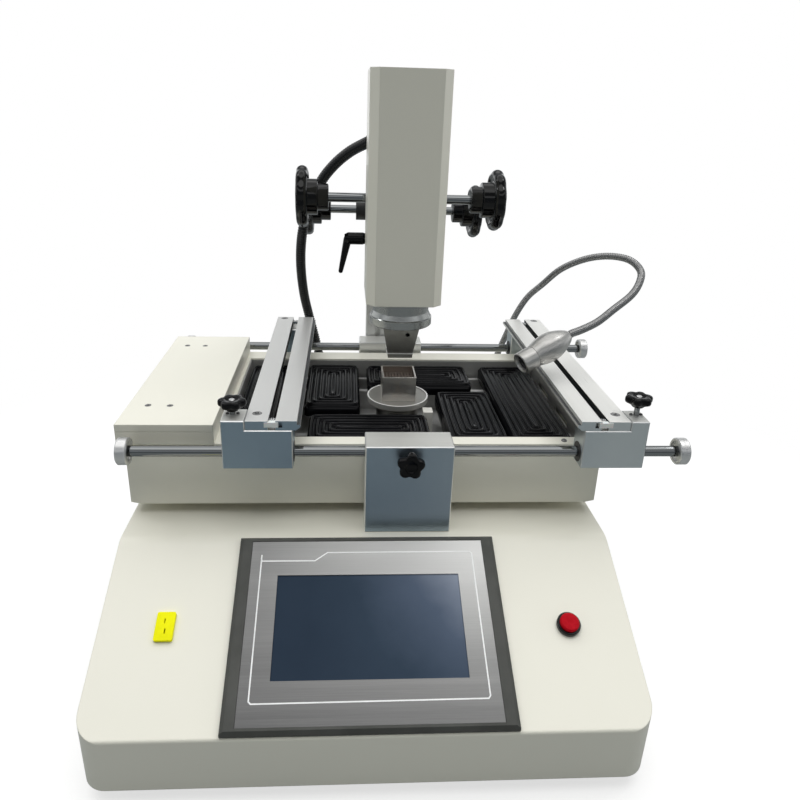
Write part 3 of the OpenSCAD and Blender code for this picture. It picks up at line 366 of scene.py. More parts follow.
class Finish:
    """A procedural material in the object's own coordinates. Constants sit on the shader's sockets."""

    def __init__(self, name, slot, color, roughness, metallic=0.0, edge=0.0, **sockets):
        self.slot = slot
        self.material = bpy.data.materials.new(name)
        self.material.use_nodes = True
        self.tree = self.material.node_tree
        self.shader = self.tree.nodes["Principled BSDF"]
        self.set("Base Color", (*color, 1))
        self.set("Roughness", roughness)
        self.set("Metallic", metallic)
        for socket, value in sockets.items():
            self.set(socket.replace("_", " "), value)
        self.coords = self.add("ShaderNodeTexCoord").outputs["Object"]
        self.normal = None
        if edge:
            bevel = self.add("ShaderNodeBevel", Radius=edge * MM)
            bevel.samples = 4
            self.normal = bevel.outputs["Normal"]
            self.link(self.normal, self.shader.inputs["Normal"])

    def set(self, socket, value):
        self.shader.inputs[socket].default_value = value

    def add(self, kind, **inputs):
        return new_node(self.tree, kind, **inputs)

    def link(self, a, b):
        self.tree.links.new(a, b)

    def stretched(self, scale):
        """The object's own coordinates, scaled along each axis."""
        made = self.add("ShaderNodeMapping", Scale=scale)
        self.link(self.coords, made.inputs["Vector"])
        return made.outputs["Vector"]

    def noise(self, scale, stretch=(1, 1, 1), detail=3.0, roughness=0.55):
        """Noise with so many cells in a metre, made longer along an axis by a smaller stretch."""
        made = self.add("ShaderNodeTexNoise", Scale=scale, Detail=detail, Roughness=roughness)
        self.link(self.stretched(stretch), made.inputs["Vector"])
        return made.outputs["Fac"]

    def cells(self, scale):
        """Round cells, so many in a metre."""
        made = self.add("ShaderNodeTexVoronoi", Scale=scale)
        self.link(self.stretched((1, 1, 1)), made.inputs["Vector"])
        return made.outputs["Distance"]

    def mapped(self, value, low, high, to_low, to_high):
        """The value from one range brought to another, and held inside it."""
        made = self.add("ShaderNodeMapRange", From_Min=low, From_Max=high, To_Min=to_low, To_Max=to_high)
        self.link(value, made.inputs["Value"])
        return made.outputs["Result"]

    def tint(self, value, colors, low=0.3, high=0.7):
        """Base colour between several colours, by a value from low to high."""
        stops = [(i / (len(colors) - 1), color) for i, color in enumerate(colors)]
        shown = ramp_node(self.tree, self.mapped(value, low, high, 0, 1), stops)
        self.link(shown, self.shader.inputs["Base Color"])
        return self

    def gloss(self, value, smooth, rough):
        """Roughness between two values, by a noise value."""
        self.link(self.mapped(value, 0.3, 0.7, smooth, rough), self.shader.inputs["Roughness"])
        return self

    def relief(self, value, depth, strength):
        """Bumps of a depth in millimetres, on top of those so far."""
        made = self.add("ShaderNodeBump", Strength=strength, Distance=depth * MM)
        self.link(value, made.inputs["Height"])
        if self.normal:
            self.link(self.normal, made.inputs["Normal"])
        self.normal = made.outputs["Normal"]
        self.link(self.normal, self.shader.inputs["Normal"])
        return self

    def calc(self, operation, *values):
        return math_node(self.tree, operation, *values)

    def axis(self, name):
        """One of the object's own coordinates, in metres."""
        parts = self.add("ShaderNodeSeparateXYZ")
        self.link(self.coords, parts.inputs["Vector"])
        return parts.outputs[name]


def shade(color, factor):
    """The colour made lighter or darker by a factor."""
    return tuple(min(1.0, c * factor) for c in color)


def paint(name, color):
    """Glossy sheet-metal paint with an orange-peel skin."""
    made = Finish(name, "cream_paint", color, 0.33, edge=1.2, Coat_Weight=0.2, Coat_Roughness=0.12,
                  Specular_IOR_Level=0.4)
    made.tint(made.noise(5, detail=1), [shade(color, 0.985), color, shade(color, 1.01)])
    made.gloss(made.noise(60, detail=5), 0.28, 0.40)
    made.relief(made.noise(420, detail=2), 0.10, 0.3)
    return made.relief(made.noise(1500, detail=1), 0.02, 0.3)


def brushed(name, slot, color, along, roughness, depth=0.012, edge=0.5, contrast=0.05, fine=5200, metallic=1.0):
    """Metal with fine straight lines along X, Y or Z. A lower metallic value stands for its oxide skin."""
    stretch = [1.0, 1.0, 1.0]
    stretch["XYZ".index(along)] = 0.012
    made = Finish(name, slot, color, roughness, metallic=metallic, edge=edge)
    lines = made.noise(fine / 4, stretch, detail=4, roughness=0.7)
    made.tint(lines, [shade(color, 1 - contrast), color, shade(color, 1 + contrast)])
    made.gloss(made.noise(90, stretch, detail=5), roughness * 0.82, roughness * 1.22)
    return made.relief(made.noise(fine / 5, stretch, detail=3, roughness=0.8), depth, 0.5)


def blasted(name, slot, color, roughness, edge=0.5):
    """Satin metal with a fine even grain."""
    made = Finish(name, slot, color, roughness, metallic=1.0, edge=edge)
    made.tint(made.noise(24, detail=5), [shade(color, 0.95), color, shade(color, 1.04)])
    made.gloss(made.noise(140, detail=4), roughness * 0.88, roughness * 1.15)
    return made.relief(made.noise(2600, detail=2), 0.02, 0.35)


def moulded(name, slot, color, roughness, grain=2200, depth=0.02, edge=0.4, **sockets):
    """Moulded plastic or rubber with its own grain."""
    made = Finish(name, slot, color, roughness, edge=edge, **sockets)
    made.tint(made.noise(30, detail=4), [shade(color, 0.86), color, shade(color, 1.16)])
    made.gloss(made.noise(110, detail=5), roughness * 0.8, roughness * 1.25)
    return made.relief(made.noise(grain, detail=2), depth, 0.5)


CREAM = (0.86, 0.845, 0.75)
F = {
    "cream": paint("cream_paint", CREAM),
    "block": brushed("anodised_block", "anodised", (0.72, 0.72, 0.69), "X", 0.34, edge=0.4, metallic=0.5),
    "column": brushed("anodised_column", "anodised", (0.93, 0.93, 0.90), "Z", 0.38, metallic=0.55),
    "collar": brushed("anodised_collar", "anodised", (0.335, 0.345, 0.338), "X", 0.24, depth=0.003),
    "rail": brushed("rail_steel", "bright_steel", (0.235, 0.245, 0.25), "X", 0.06, depth=0.001, edge=0,
                    contrast=0.02),
    "cap": blasted("cap_metal", "cap_metal", (0.70, 0.70, 0.695), 0.4),
    # Painted light: a lighter metal for the lower disc's side than for its face.
    "satin": brushed("disc_side_painted_light", "disc_steel", (0.50, 0.495, 0.475), "X", 0.36, metallic=0.35),
    # Painted shade: near-black for the walls of the beams' and jaws' grooves and their upward faces below the strip's
    # top.
    "groove": blasted("groove_painted_shade", "anodised", (0.12, 0.125, 0.13), 0.5, edge=0),
    "zinc": blasted("zinc_plate", "zinc_plate", (0.60, 0.62, 0.63), 0.42),
    "foot": moulded("foot_rubber", "foot_rubber", (0.025, 0.025, 0.026), 0.75, grain=1500, depth=0.05),
    "bezel": moulded("bezel_plastic", "dark_plastic", (0.076, 0.078, 0.073), 0.5, grain=900, depth=0.10,
                     Specular_IOR_Level=0.15),
    "dark": moulded("dark_plastic", "dark_plastic", (0.035, 0.036, 0.038), 0.5),
    "yellow": moulded("yellow_plastic", "yellow_plastic", (1.0, 0.98, 0.006), 0.45, Specular_IOR_Level=0.1),
    "black": moulded("black_plastic", "black_plastic", (0.0025, 0.0025, 0.003), 0.1, grain=300, depth=0.03,
                     Specular_IOR_Level=0.33),
    "knob": moulded("knob_plastic", "black_plastic", (0.002, 0.002, 0.0025), 0.18, grain=1800, depth=0.01,
                    Specular_IOR_Level=0.2),
    "bush": moulded("bush_black", "bush_black", (0.02, 0.02, 0.02), 0.45),
    "hose": moulded("hose_black", "hose_black", (0.0035, 0.0035, 0.004), 0.22, edge=0, Specular_IOR_Level=0.5),
    "ceramic": moulded("white_ceramic", "white_ceramic", (0.80, 0.79, 0.74), 0.7, grain=1200, depth=0.04),
    "spring": blasted("spring_steel", "spring_steel", (0.66, 0.67, 0.68), 0.22, edge=0),
    "screw": blasted("screw_steel", "zinc_plate", (0.24, 0.24, 0.24), 0.3, edge=0),
    "black_screw": moulded("screw_black", "bush_black", (0.02, 0.02, 0.022), 0.3, edge=0),
    "nylon": moulded("white_nylon", "white_ceramic", (0.78, 0.79, 0.78), 0.35, edge=0, Subsurface_Weight=0.1),
    "edge": blasted("anodised_edge", "anodised", (0.70, 0.71, 0.71), 0.32, edge=0),
    # Painted highlight: near-white metal for the thin bright lines on the lower disc's rim and the upper nozzle's
    # lower edge.
    "rim": brushed("painted_highlight_rim", "disc_steel", (1.0, 1.0, 0.98), "X", 0.3, edge=0, metallic=0.3),
}


def slider_finish():
    """Blue-grey painted reflection, with painted light making it a little lighter to the right."""
    made = blasted("slider_painted_light", "anodised", (0.40, 0.48, 0.55), 0.38, edge=0.4)
    # Painted light: the colour lightens from left to right.
    across = made.mapped(made.axis("X"), -0.10, 0.22, 0.25, 0.65)
    made.tint(across, [(0.29, 0.37, 0.44), (0.345, 0.41, 0.465), (0.68, 0.715, 0.71)])
    return made


def beam_finish():
    """Beams and jaws: lines along Y under a clear oxide skin, with painted light making them a little lighter to the
    right.
    """
    made = brushed("anodised_beam", "anodised", (0.80, 0.80, 0.785), "Y", 0.32, contrast=0.03, edge=0.3, metallic=0.4)
    lines = made.noise(1300, (1, 0.012, 1), detail=4, roughness=0.7)
    # Painted light: the colour lightens from left to right.
    across = made.mapped(made.axis("X"), -0.10, 0.20, 0.1, 0.8)
    value = made.calc("MULTIPLY_ADD", lines, 0.25, across)
    return made.tint(value, [(0.68, 0.68, 0.67), (0.76, 0.76, 0.745), (0.94, 0.935, 0.90)], 0.1, 1.05)


def plate_finish():
    """Printed film with a brushed silver look, with a painted reflection making it lighter to its upper right."""
    made = Finish("silver_panel", "silver_panel", (0.26, 0.26, 0.265), 0.5, metallic=0.35, Specular_IOR_Level=0.3)
    stretch = (0.012, 1, 1)
    lines = made.noise(1300, stretch, detail=4, roughness=0.7)
    # Painted reflection: lighter toward the right and the top.
    across = made.mapped(made.axis("X"), -0.095, 0.095, 0, 1)
    up = made.mapped(made.axis("Z"), 0.068, 0.132, 0, 1)
    corner = made.calc("MULTIPLY", across, made.calc("MULTIPLY", up, up))
    plain = made.calc("MULTIPLY_ADD", up, 0.125, made.calc("MULTIPLY_ADD", across, 0.06, 0.085))
    value = made.calc("MULTIPLY_ADD", corner, 0.34, made.calc("MULTIPLY_ADD", lines, 0.085, plain))
    made.tint(value, [(0.0, 0.0, 0.003), (1.0, 1.0, 0.985)], 0, 1)
    made.gloss(made.noise(90, stretch, detail=5), 0.42, 0.58)
    return made.relief(made.noise(1000, stretch, detail=3, roughness=0.8), 0.004, 0.5)


def liner_finish():
    """Thin bright steel sheet that has been through many heating runs."""
    made = brushed("liner_steel", "liner_steel", (0.52, 0.52, 0.51), "X", 0.34, depth=0.02, metallic=0.35)
    return made.relief(made.noise(30, detail=3), 0.3, 0.4)


def nozzle_finish(name, color):
    """Bent stainless sheet with a warm heat tint in clouds."""
    made = brushed(name, "nozzle_steel", color, "Z", 0.30, depth=0.004)
    made.gloss(made.noise(40, detail=3), 0.28, 0.34)
    made.tint(made.noise(34, detail=5), [shade(color, 0.8), color, (color[0] * 1.12, color[1] * 1.06, color[2])])
    return made


def glaze_finish():
    """Black glaze on ceramic: smooth, with a slight wave and fine pits."""
    made = Finish("heater_glaze", "heater_ceramic", (0.004, 0.004, 0.005), 0.1, Specular_IOR_Level=0.13)
    made.tint(made.noise(55, detail=5), [(0.003, 0.003, 0.004), (0.004, 0.004, 0.005), (0.007, 0.007, 0.009)])
    made.gloss(made.noise(160, detail=5), 0.08, 0.12)
    return made.relief(made.noise(900, detail=2), 0.006, 0.3)


def screen_finish():
    """Dark display under glass, with a painted reflection making it lighter to the upper right, and faint smears."""
    made = Finish("screen_glass", "screen_glass", (0.022, 0.036, 0.062), 0.08, Specular_IOR_Level=0.05)
    # Painted reflection: lighter toward the right and the top.
    across = made.mapped(made.axis("X"), -0.05, 0.085, 0.0, 0.6)
    up = made.mapped(made.axis("Z"), 0.088, 0.124, 0.0, 0.5)
    both = made.calc("MULTIPLY", made.mapped(across, 0, 0.6, 0.15, 1.0), up)
    value = made.calc("MULTIPLY_ADD", made.noise(26, detail=3), 0.2, made.calc("ADD", both, across))
    made.tint(value, [(0.020, 0.034, 0.057), (0.032, 0.051, 0.080), (0.080, 0.108, 0.16), (0.28, 0.32, 0.40)],
              0.05, 1.2)
    return made.gloss(made.noise(45, detail=6), 0.05, 0.22)


def red_finish():
    """Red cap with a slight wave in its top."""
    made = Finish("red_plastic", "red_plastic", (0.47, 0.004, 0.013), 0.2, edge=0.6, Specular_IOR_Level=0.05)
    made.tint(made.noise(300, detail=2), [(0.44, 0.003, 0.011), (0.48, 0.004, 0.013), (0.53, 0.007, 0.018)])
    return made.relief(made.noise(700, detail=1), 0.02, 0.3)


def corrugated_steel():
    """Bright stainless strip of the gooseneck, with a slight random change of tone."""
    made = Finish("gooseneck_steel", "bright_steel", (0.28, 0.28, 0.28), 0.26, metallic=1.0)
    made.tint(made.noise(400, detail=4), [(0.25, 0.25, 0.25), (0.28, 0.28, 0.28), (0.32, 0.32, 0.32)])
    return made.gloss(made.noise(700, detail=3), 0.22, 0.30)


def lamp_finish():
    """Turned and polished aluminium."""
    made = Finish("lamp_aluminium", "cap_metal", (0.50, 0.495, 0.48), 0.36, metallic=0.85)
    made.tint(made.noise(40, detail=4), [(0.46, 0.455, 0.44), (0.50, 0.495, 0.48), (0.55, 0.545, 0.53)])
    return made.gloss(made.noise(220, detail=5), 0.30, 0.42)


def lens_finish():
    """Clear lens with a fine moulded pattern."""
    made = Finish("lamp_lens", "screen_glass", (0.03, 0.03, 0.034), 0.06, Specular_IOR_Level=0.6)
    made.gloss(made.noise(300, detail=3), 0.03, 0.12)
    return made.relief(made.cells(600), 0.12, 0.5)


F["liner"] = liner_finish()
F["low_nozzle"] = nozzle_finish("lower_nozzle_steel", (0.80, 0.765, 0.715))
# Painted shade: a darker copy of the nozzle steel for the inside of the lower nozzle's mouth.
F["nozzle_mouth_painted_shade"] = nozzle_finish("lower_nozzle_inside", (0.34, 0.30, 0.27))
F["up_nozzle"] = nozzle_finish("upper_nozzle_steel", (0.36, 0.353, 0.335))
F["tube"] = nozzle_finish("heater_tube_steel", (0.36, 0.35, 0.33))
F["plate"] = plate_finish()
F["slider"] = slider_finish()
F["beam"] = beam_finish()
F["glaze"] = glaze_finish()
F["screen"] = screen_finish()
F["red"] = red_finish()
F["neck"] = corrugated_steel()
F["lamp"] = lamp_finish()
F["lens"] = lens_finish()
F["line"] = moulded("white_line", "silver_panel", (0.93, 0.94, 0.94), 0.5, edge=0)
F["disc"] = brushed("disc_steel", "disc_steel", (0.41, 0.40, 0.375), "X", 0.36, depth=0.008)

NODE_FINISH = {
    "cream": ["base_shell", "tray_box", "left_cover", "head_cover"],
    "block": ["front_block", "rear_block"],
    "slider": ["left_sliders", "right_sliders", "lift_block"],
    "beam": ["left_beam", "right_beam", "left_jaw", "right_jaw", "arm", "head_slide"],
    "column": ["column", "column_saddle"],
    "collar": ["head_collar"],
    "rail": ["rails", "lift_shaft", "drive_shaft"],
    "cap": ["rail_caps"],
    "zinc": ["base_plate", "tray_standoffs"],
    "foot": ["feet"],
    "bezel": ["hmi_bezel"],
    "dark": ["fan_frame", "fan_rotor", "power_inlet"],
    "plate": ["hmi_plate"],
    "screen": ["hmi_screen"],
    "yellow": ["thermocouple_socket"],
    "red": ["button_cap"],
    "black": ["button_bezel", "drive_wheels", "lift_wheels"],
    "knob": ["left_knob", "right_knob", "frame_knob", "clamping_lever"],
    "bush": ["left_bushes", "right_bushes"],
    "ceramic": ["ceramic_block"],
    "liner": ["tray_liner"],
    "tube": ["lower_heater"],
    "disc": ["lower_disc"],
    "low_nozzle": ["lower_nozzle"],
    "up_nozzle": ["upper_nozzle"],
    "glaze": [f"heater_tile_{i}" for i in range(1, 7)],
    "spring": ["left_springs", "right_springs"],
    "hose": ["hose_lower", "hose_upper"],
    "neck": ["gooseneck"],
    "lamp": ["lamp_body"],
}


def second_finish(name, key, chosen):
    """Gives a CAD node's faces another finish where chosen(centre in mm, normal) says so."""
    mesh = NODES[name].data
    place = NODES[name].matrix_world
    turn = place.to_3x3()
    mesh.materials.append(F[key].material)
    index = len(mesh.materials) - 1
    for face in mesh.polygons:
        if chosen(place @ face.center / MM, turn @ face.normal):
            face.material_index = index


def end_face(c, n):
    """Faces that look to the front or the back."""
    return abs(n.y) > 0.9


def bevel_face(c, n):
    """The bevels of an upright block, round its top and along its upright edges."""
    return 0.5 < n.z < 0.9 or abs(n.x) > 0.3 and abs(n.y) > 0.3


def finish_nodes():
    """Gives every CAD node its finish, and some of their faces a second one."""
    for key, names in NODE_FINISH.items():
        for name in names:
            materials = NODES[name].data.materials
            materials.clear()
            materials.append(F[key].material)
    (_, shaft_y, shaft_z), shaft_r, collar_r = WHEELS["drive"], 6.2, 14.5
    second_finish("drive_shaft", "bush", lambda c, n: abs(c.x - AXIS_X) > 28
                  and shaft_r < hypot(c.y - shaft_y, c.z - shaft_z) <= collar_r)
    groove_half, strip_top, strip_half, strip_end = 3.8, 247, 6.6, -113.3
    for side, seam, s in CLAMPS:
        middle = seam + s * 23.25
        for part in ("beam", "jaw"):
            # Painted reflection: the fronts and backs of beams and jaws get the sliders' blue-grey.
            second_finish(f"{side}_{part}", "slider", end_face)
            # Painted shade: the grooves' walls and the upward faces below the strip's top get near-black.
            second_finish(f"{side}_{part}", "groove", lambda c, n: abs(n.x) > 0.9 and abs(c.x - middle) < groove_half
                          or n.z > 0.9 and c.z < strip_top)
        x = middle - s * 0.5
        second_finish(f"{side}_beam", "nylon", lambda c, n: c.y < strip_end and 242 < c.z < strip_top + 0.1
                      and abs(c.x - x) < strip_half and (c.y < -117.5 or abs(n.z) > 0.5 and c.z < strip_top))
        # The sliders' tops take the lighter block metal; their other faces keep the blue-grey painted reflection.
        second_finish(f"{side}_sliders", "block", lambda c, n: n.z > 0.9)
        second_finish(f"{side}_sliders", "edge", bevel_face)
    # Painted reflection: the front block's front and back get the sliders' blue-grey.
    second_finish("front_block", "slider", end_face)
    second_finish("rear_block", "edge", end_face)
    second_finish("front_block", "edge", bevel_face)
    second_finish("rear_block", "edge", bevel_face)
    # Painted highlight on the lower disc's rim.
    second_finish("lower_disc", "rim", lambda c, n: hypot(c.x - AXIS_X, c.y - AXIS_Y) > 31.5 and n.z > 0.5)
    # Painted light: the lower disc's side is made lighter than its face.
    second_finish("lower_disc", "satin", lambda c, n: abs(n.z) < 0.5)
    # Painted shade inside the lower nozzle's mouth, down to 9 mm below its top.
    inner_half, inside_from = 16.6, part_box("lower_nozzle")[1][2] / MM - 9
    second_finish("lower_nozzle", "nozzle_mouth_painted_shade", lambda c, n: c.z > inside_from
                  and max(abs(c.x - AXIS_X), abs(c.y - AXIS_Y)) < inner_half)
    # Painted highlight: a thin bright line round the upper nozzle's lower edge.
    second_finish("upper_nozzle", "rim", lambda c, n: 261 < c.z < 262)


finish_nodes()


def rounded(name, width):
    """Rounds the sharp edges of a CAD node with a modifier."""
    made = NODES[name].modifiers.new("rounded", "BEVEL")
    made.width, made.segments, made.limit_method, made.angle_limit = width * MM, 4, "ANGLE", radians(60)
    made.harden_normals = True


rounded("hmi_bezel", 1.6)

# ---------------- hose, gooseneck and lamp

HOSE_MM = [
    (-48, 212, 139), (-49.5, 212, 156), (-54, 212, 182), (-59.5, 212.5, 208), (-64.5, 212.5, 229),
    (-69.5, 210.5, 250), (-74, 201, 276), (-76.3, 187, 307), (-76, 174, 335), (-73, 163.5, 362),
    (-67.5, 159, 385), (-59, 153, 406), (-47, 141, 428), (-33, 128, 445), (-18, 115, 458),
    (-4, 103, 466.5), (4.5, 92, 471), (7.5, 84, 472.5), (7.5, 77.4, 472.5),
]
HOSE_SPLIT = 11
HOSE_R = 6.0
HOSE_PITCH = 3.2
HOSE_FOLLOWS = (350, 410)   # heights between which it passes from base to arm, clear of the drive wheel
GOOSE_MM = [
    (176, 217, 150), (178.5, 217, 168), (186.5, 217, 193), (195.5, 217, 219.5), (206, 217, 248),
    (219.5, 215, 274), (235, 206, 294), (249.7, 184, 319), (270.4, 162, 336.5), (290.6, 140, 345.3),
    (307.9, 119, 345.7), (314.8, 99, 338), (308, 80, 329), (293, 62, 318), (266.5, 41, 307),
    (246, 27, 297.5), (226.5, 15.5, 292.5), (213.7, 8.1, 290.6), (209.9, 6.2, 289.2),
]
LAMP_TAIL = (209.4, 6, 289)
LAMP_NOSE = (156, -16, 265)


def corrugated(name, line_mm, r_top, r_low, pitch, sides, finish, body, square=False):
    """A tube with rings all along it, and the centres of its rings."""
    steps = 6
    line = evenly(line_mm, pitch / steps)
    radii = []
    for i in range(len(line)):
        wave = 0.5 - 0.5 * cos(tau * i / steps)
        if square:
            wave = min(1.0, max(0.0, 1.7 * wave - 0.35))
        radii.append((r_low + (r_top - r_low) * wave) * MM)
    return tube(name, [p * MM for p in line], radii, sides, finish, body), [p * MM for p in line]


def make_hose():
    """The hose in two halves, each in place of one CAD node."""
    line = spline(HOSE_MM, 8)
    split = HOSE_SPLIT * 8
    low, high = (mm(0, 0, z) for z in HOSE_FOLLOWS)
    halves = [("hose_from_base", line[:split + 1], "hose_lower", "base", "arm_body", low, high),
              ("hose_to_head", line[split:], "hose_upper", "arm_body", "head", line[split] * MM, line[-1] * MM)]
    for name, part, node, start, end, low, high in halves:
        made, centres = corrugated(name, part, HOSE_R, HOSE_R - 1.1, HOSE_PITCH, 20, F["hose"], None, square=True)
        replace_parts(made, node)
        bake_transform(made)


def make_gooseneck():
    """The bright corrugated neck on its ferrule."""
    neck, _ = corrugated("gooseneck_tube", spline(GOOSE_MM, 8), 4.2, 3.7, 2.2, 20, F["neck"], "lamp")
    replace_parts(neck, "gooseneck")
    x, y, z = GOOSE_MM[0]
    place = moved(x, y, DECK_Z)
    top = z - DECK_Z + 1
    lathe("gooseneck_ferrule", [(0, 0), (6.6, 0), (7, 0.5), (7, top - 2.5), (6.4, top - 1.2), (5, top), (0, top)],
          F["cap"], "lamp", place, 64)
    ring("gooseneck_washer", [(7.2, 0.02), (10.5, 0.02), (10.5, 0.9), (10, 1.3), (7.2, 1.3)], F["cap"], "base",
         place, 64)


def make_glands():
    """The hose's glands: a nut on the base's deck and a ring on the head's back."""
    x, y, _ = HOSE_MM[0]
    low = moved(x, y, DECK_Z)
    nut = extruded("hose_gland_nut", hexagon(9.6), 4, F["knob"], "base", low, 0.5)
    bore = lathe("cutter", [(0, -1), (6.4, -1), (6.4, 6), (0, 6)], F["knob"], None, low, 48)
    cut(nut, bore)
    x, _, z = HOSE_MM[-1]
    ring("hose_gland_ring", [(6.4, 0.05), (9.5, 0.05), (9.5, 1.6), (9.0, 2.2), (6.4, 2.2)], F["knob"], "head",
         turn_to((0, 1, 0), (x, 77, z)), 48)


def make_lamp():
    """The turned lamp head with its reflector and lens."""
    direction = Vector(LAMP_NOSE) - Vector(LAMP_TAIL)
    length = direction.length
    place = turn_to(direction, LAMP_TAIL)
    bulb = [(0, 0), (4.6, 0), (5.4, 0.5), (7.4, 3), (9.6, 7), (11.6, 11.5), (13.2, 16), (14.4, 20.5), (15, 25.5),
            (14.9, 30), (14.2, 35), (13.1, 39.5), (12.0, 43.3), (11.5, 45.6), (11.1, 46), (11.1, 46.6),
            (11.5, 46.9), (11.6, 47.5), (11.6, length - 1.6), (11.3, length - 0.6), (10.7, length), (9.6, length),
            (9.3, length - 0.5), (8.6, length - 6), (0, length - 6.4)]
    made = lathe("lamp_shell", bulb, F["lamp"], "lamp", place, 128, sharp=28)
    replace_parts(made, "lamp_body")
    lathe("lamp_lens", [(0, length - 5.4), (3, length - 5.3), (6, length - 4.6), (8.2, length - 3.6),
                        (8.6, length - 4.2), (8.55, length - 5.8), (0, length - 6.2)],
          F["lens"], "lamp", place, 64)


make_hose()
make_gooseneck()
make_glands()
make_lamp()

# ---------------- heater tiles

TILE_TOP = 205.0
TILE_BASE_Z = 190.5
TILE_T = 12.0
TILE_W = 60.0
RIDGE_PITCH = 6.3
TILES = [(-103, 36, 202, 0), (-35, 79.5, 122, 0), (3, -36, 122, 1), (66, 108.5, 122, 1), (110.5, -5, 122, 0),
         (174, 36, 202, 0)]


def smooth(a, b, x):
    """A soft step from 0 at a to 1 at b."""
    t = min(1.0, max(0.0, (x - a) / (b - a)))
    return t * t * (3 - 2 * t)


def inward(x, y, w, l, r):
    """Distance from a point to the edge of a round-cornered plate, positive inside."""
    qx, qy = abs(x) - w / 2 + r, abs(y) - l / 2 + r
    return r - hypot(max(qx, 0), max(qy, 0)) - min(max(qx, qy), 0)


def ridge_height(x, y, w, l, rise):
    """Height of the nested ridges over a tile's face. They share one corner radius."""
    a, b, soft = w / 2 - abs(x), l / 2 - abs(y), 3.2
    d = (a + b - hypot(a - b, soft)) / 2 + soft / 2
    wave = 0.5 - 0.5 * cos(tau * (d - 1.2) / RIDGE_PITCH)
    return rise * smooth(0.15, 1.0, wave) * smooth(0.8, 2.4, d)


def make_tile(index, cx, cy, l, turned):
    """A glazed ceramic tile whose face carries rounded ridges, one inside the other."""
    w, rise, step, corner = TILE_W, TILE_TOP - TILE_BASE_Z - TILE_T, 0.56, 5.0
    nx, ny = round(w / step), round(l / step)
    points, faces = [], []

    def pulled(u, v):
        """The grid's point, with the four corners drawn in to their radius."""
        x, y = u * w / 2, v * l / 2
        ax, ay = w / 2 - abs(x), l / 2 - abs(y)
        if ax < corner and ay < corner:
            px, py = 1 - ax / corner, 1 - ay / corner
            k = max(px, py) / max(1e-9, hypot(px, py))
            px, py = px * k, py * k
            x = copysign(w / 2 - corner + corner * px, x)
            y = copysign(l / 2 - corner + corner * py, y)
        return x, y

    for j in range(ny + 1):
        for i in range(nx + 1):
            x, y = pulled(2 * i / nx - 1, 2 * j / ny - 1)
            d = inward(x, y, w, l, corner)
            drop = 1.2 * (1 - smooth(0, 1.6, d))
            points.append(Vector((x, y, TILE_T - drop + ridge_height(x, y, w, l, rise))))
    for j in range(ny):
        for i in range(nx):
            a = j * (nx + 1) + i
            faces.append((a, a + 1, a + nx + 2, a + nx + 1))
    rim = ([i for i in range(nx + 1)] + [j * (nx + 1) + nx for j in range(1, ny + 1)]
           + [ny * (nx + 1) + i for i in range(nx - 1, -1, -1)] + [j * (nx + 1) for j in range(ny - 1, 0, -1)])
    start = len(points)
    points += [Vector((points[k].x, points[k].y, 0)) for k in rim]
    n = len(rim)
    faces += [(rim[(k + 1) % n], rim[k], start + k, start + (k + 1) % n) for k in range(n)]
    faces.append(tuple(range(start + n - 1, start - 1, -1)))
    place = moved(cx, cy, TILE_BASE_Z) @ Matrix.Rotation(radians(90 * turned), 4, "Z")
    made = closed(f"glazed_tile_{index}", [p * MM for p in points], faces, F["glaze"], "base", 70, place)
    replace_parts(made, f"heater_tile_{index}")


for number, tile in enumerate(TILES, 1):
    make_tile(number, *tile)

# ---------------- handwheels and knobs


def wheel_warp(r, a):
    """Ten shallow finger grips round the rim."""
    grip = (0.5 + 0.5 * cos(10 * a)) ** 1.6
    return 1 - 0.04 * grip * smooth(21, 29, r)


def make_wheels():
    """Two handwheels on each cross shaft: a rounded rim, a dished web and a stepped hub."""
    profile = [(0, 3.2), (5.2, 3.2), (12.6, 3.2), (13.6, 3.7), (15.6, 5.6), (18.5, 5.9), (21, 5.2), (22.8, 3.4),
               (24.6, 1.4), (27, 0.25), (29.2, 0.6), (31.2, 2.2), (32.3, 4.6), (32.5, 6.4), (32.2, 8.4), (31, 10.8),
               (29, 12.2), (26.8, 12.5), (24.4, 11.4), (22.2, 10.4), (20, 10.1), (19.2, 10.4), (18.8, 11),
               (18.8, 21.8), (18.4, 22.4), (17.6, 22.6), (14.6, 22.6), (14, 23.2), (14, 33.2), (13.5, 33.9),
               (12.8, 34.1), (5.2, 34.1), (0, 34.1)]
    for body, (reach, y, z) in WHEELS.items():
        for side, s in (("left", -1), ("right", 1)):
            place = turn_to((-s, 0, 0), (AXIS_X + s * reach, y, z))
            made = lathe(f"{body}_wheel_{side}", profile, F["black"], body, place, 160, wheel_warp, 50)
            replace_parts(made, f"{body}_wheels")
            lathe(f"{body}_wheel_cap_{side}", [(0, 1.9), (6.2, 1.9), (7.0, 2.4), (7.2, 3.6), (0, 3.6)],
                  F["cap"], body, place, 48)


def knob(name, lobes, radius, h, place, body, phase=0.0):
    """A star knob with round lobes and a skirt that tapers to its stud."""
    def warp(r, a):
        valley = (0.5 - 0.5 * cos(lobes * (a - phase))) ** 1.4
        return 1 - 0.22 * valley * smooth(5, 11, r)
    profile = [(0, 0), (4.6, 0), (5.2, 0.4), (6.2, 1.6), (7.8, 2.9), (radius - 2.2, 4.0), (radius - 0.6, 4.9),
               (radius, 6.2), (radius, h - 2.2), (radius - 0.5, h - 0.9), (radius - 1.8, h - 0.1), (radius - 3.4, h),
               (6.4, h - 0.1), (5.6, h - 0.4), (5.3, h - 1.2), (4.9, h - 1.5), (0, h - 1.5)]
    return lathe(name, profile, F["knob"], body, place, 120, warp, 45)


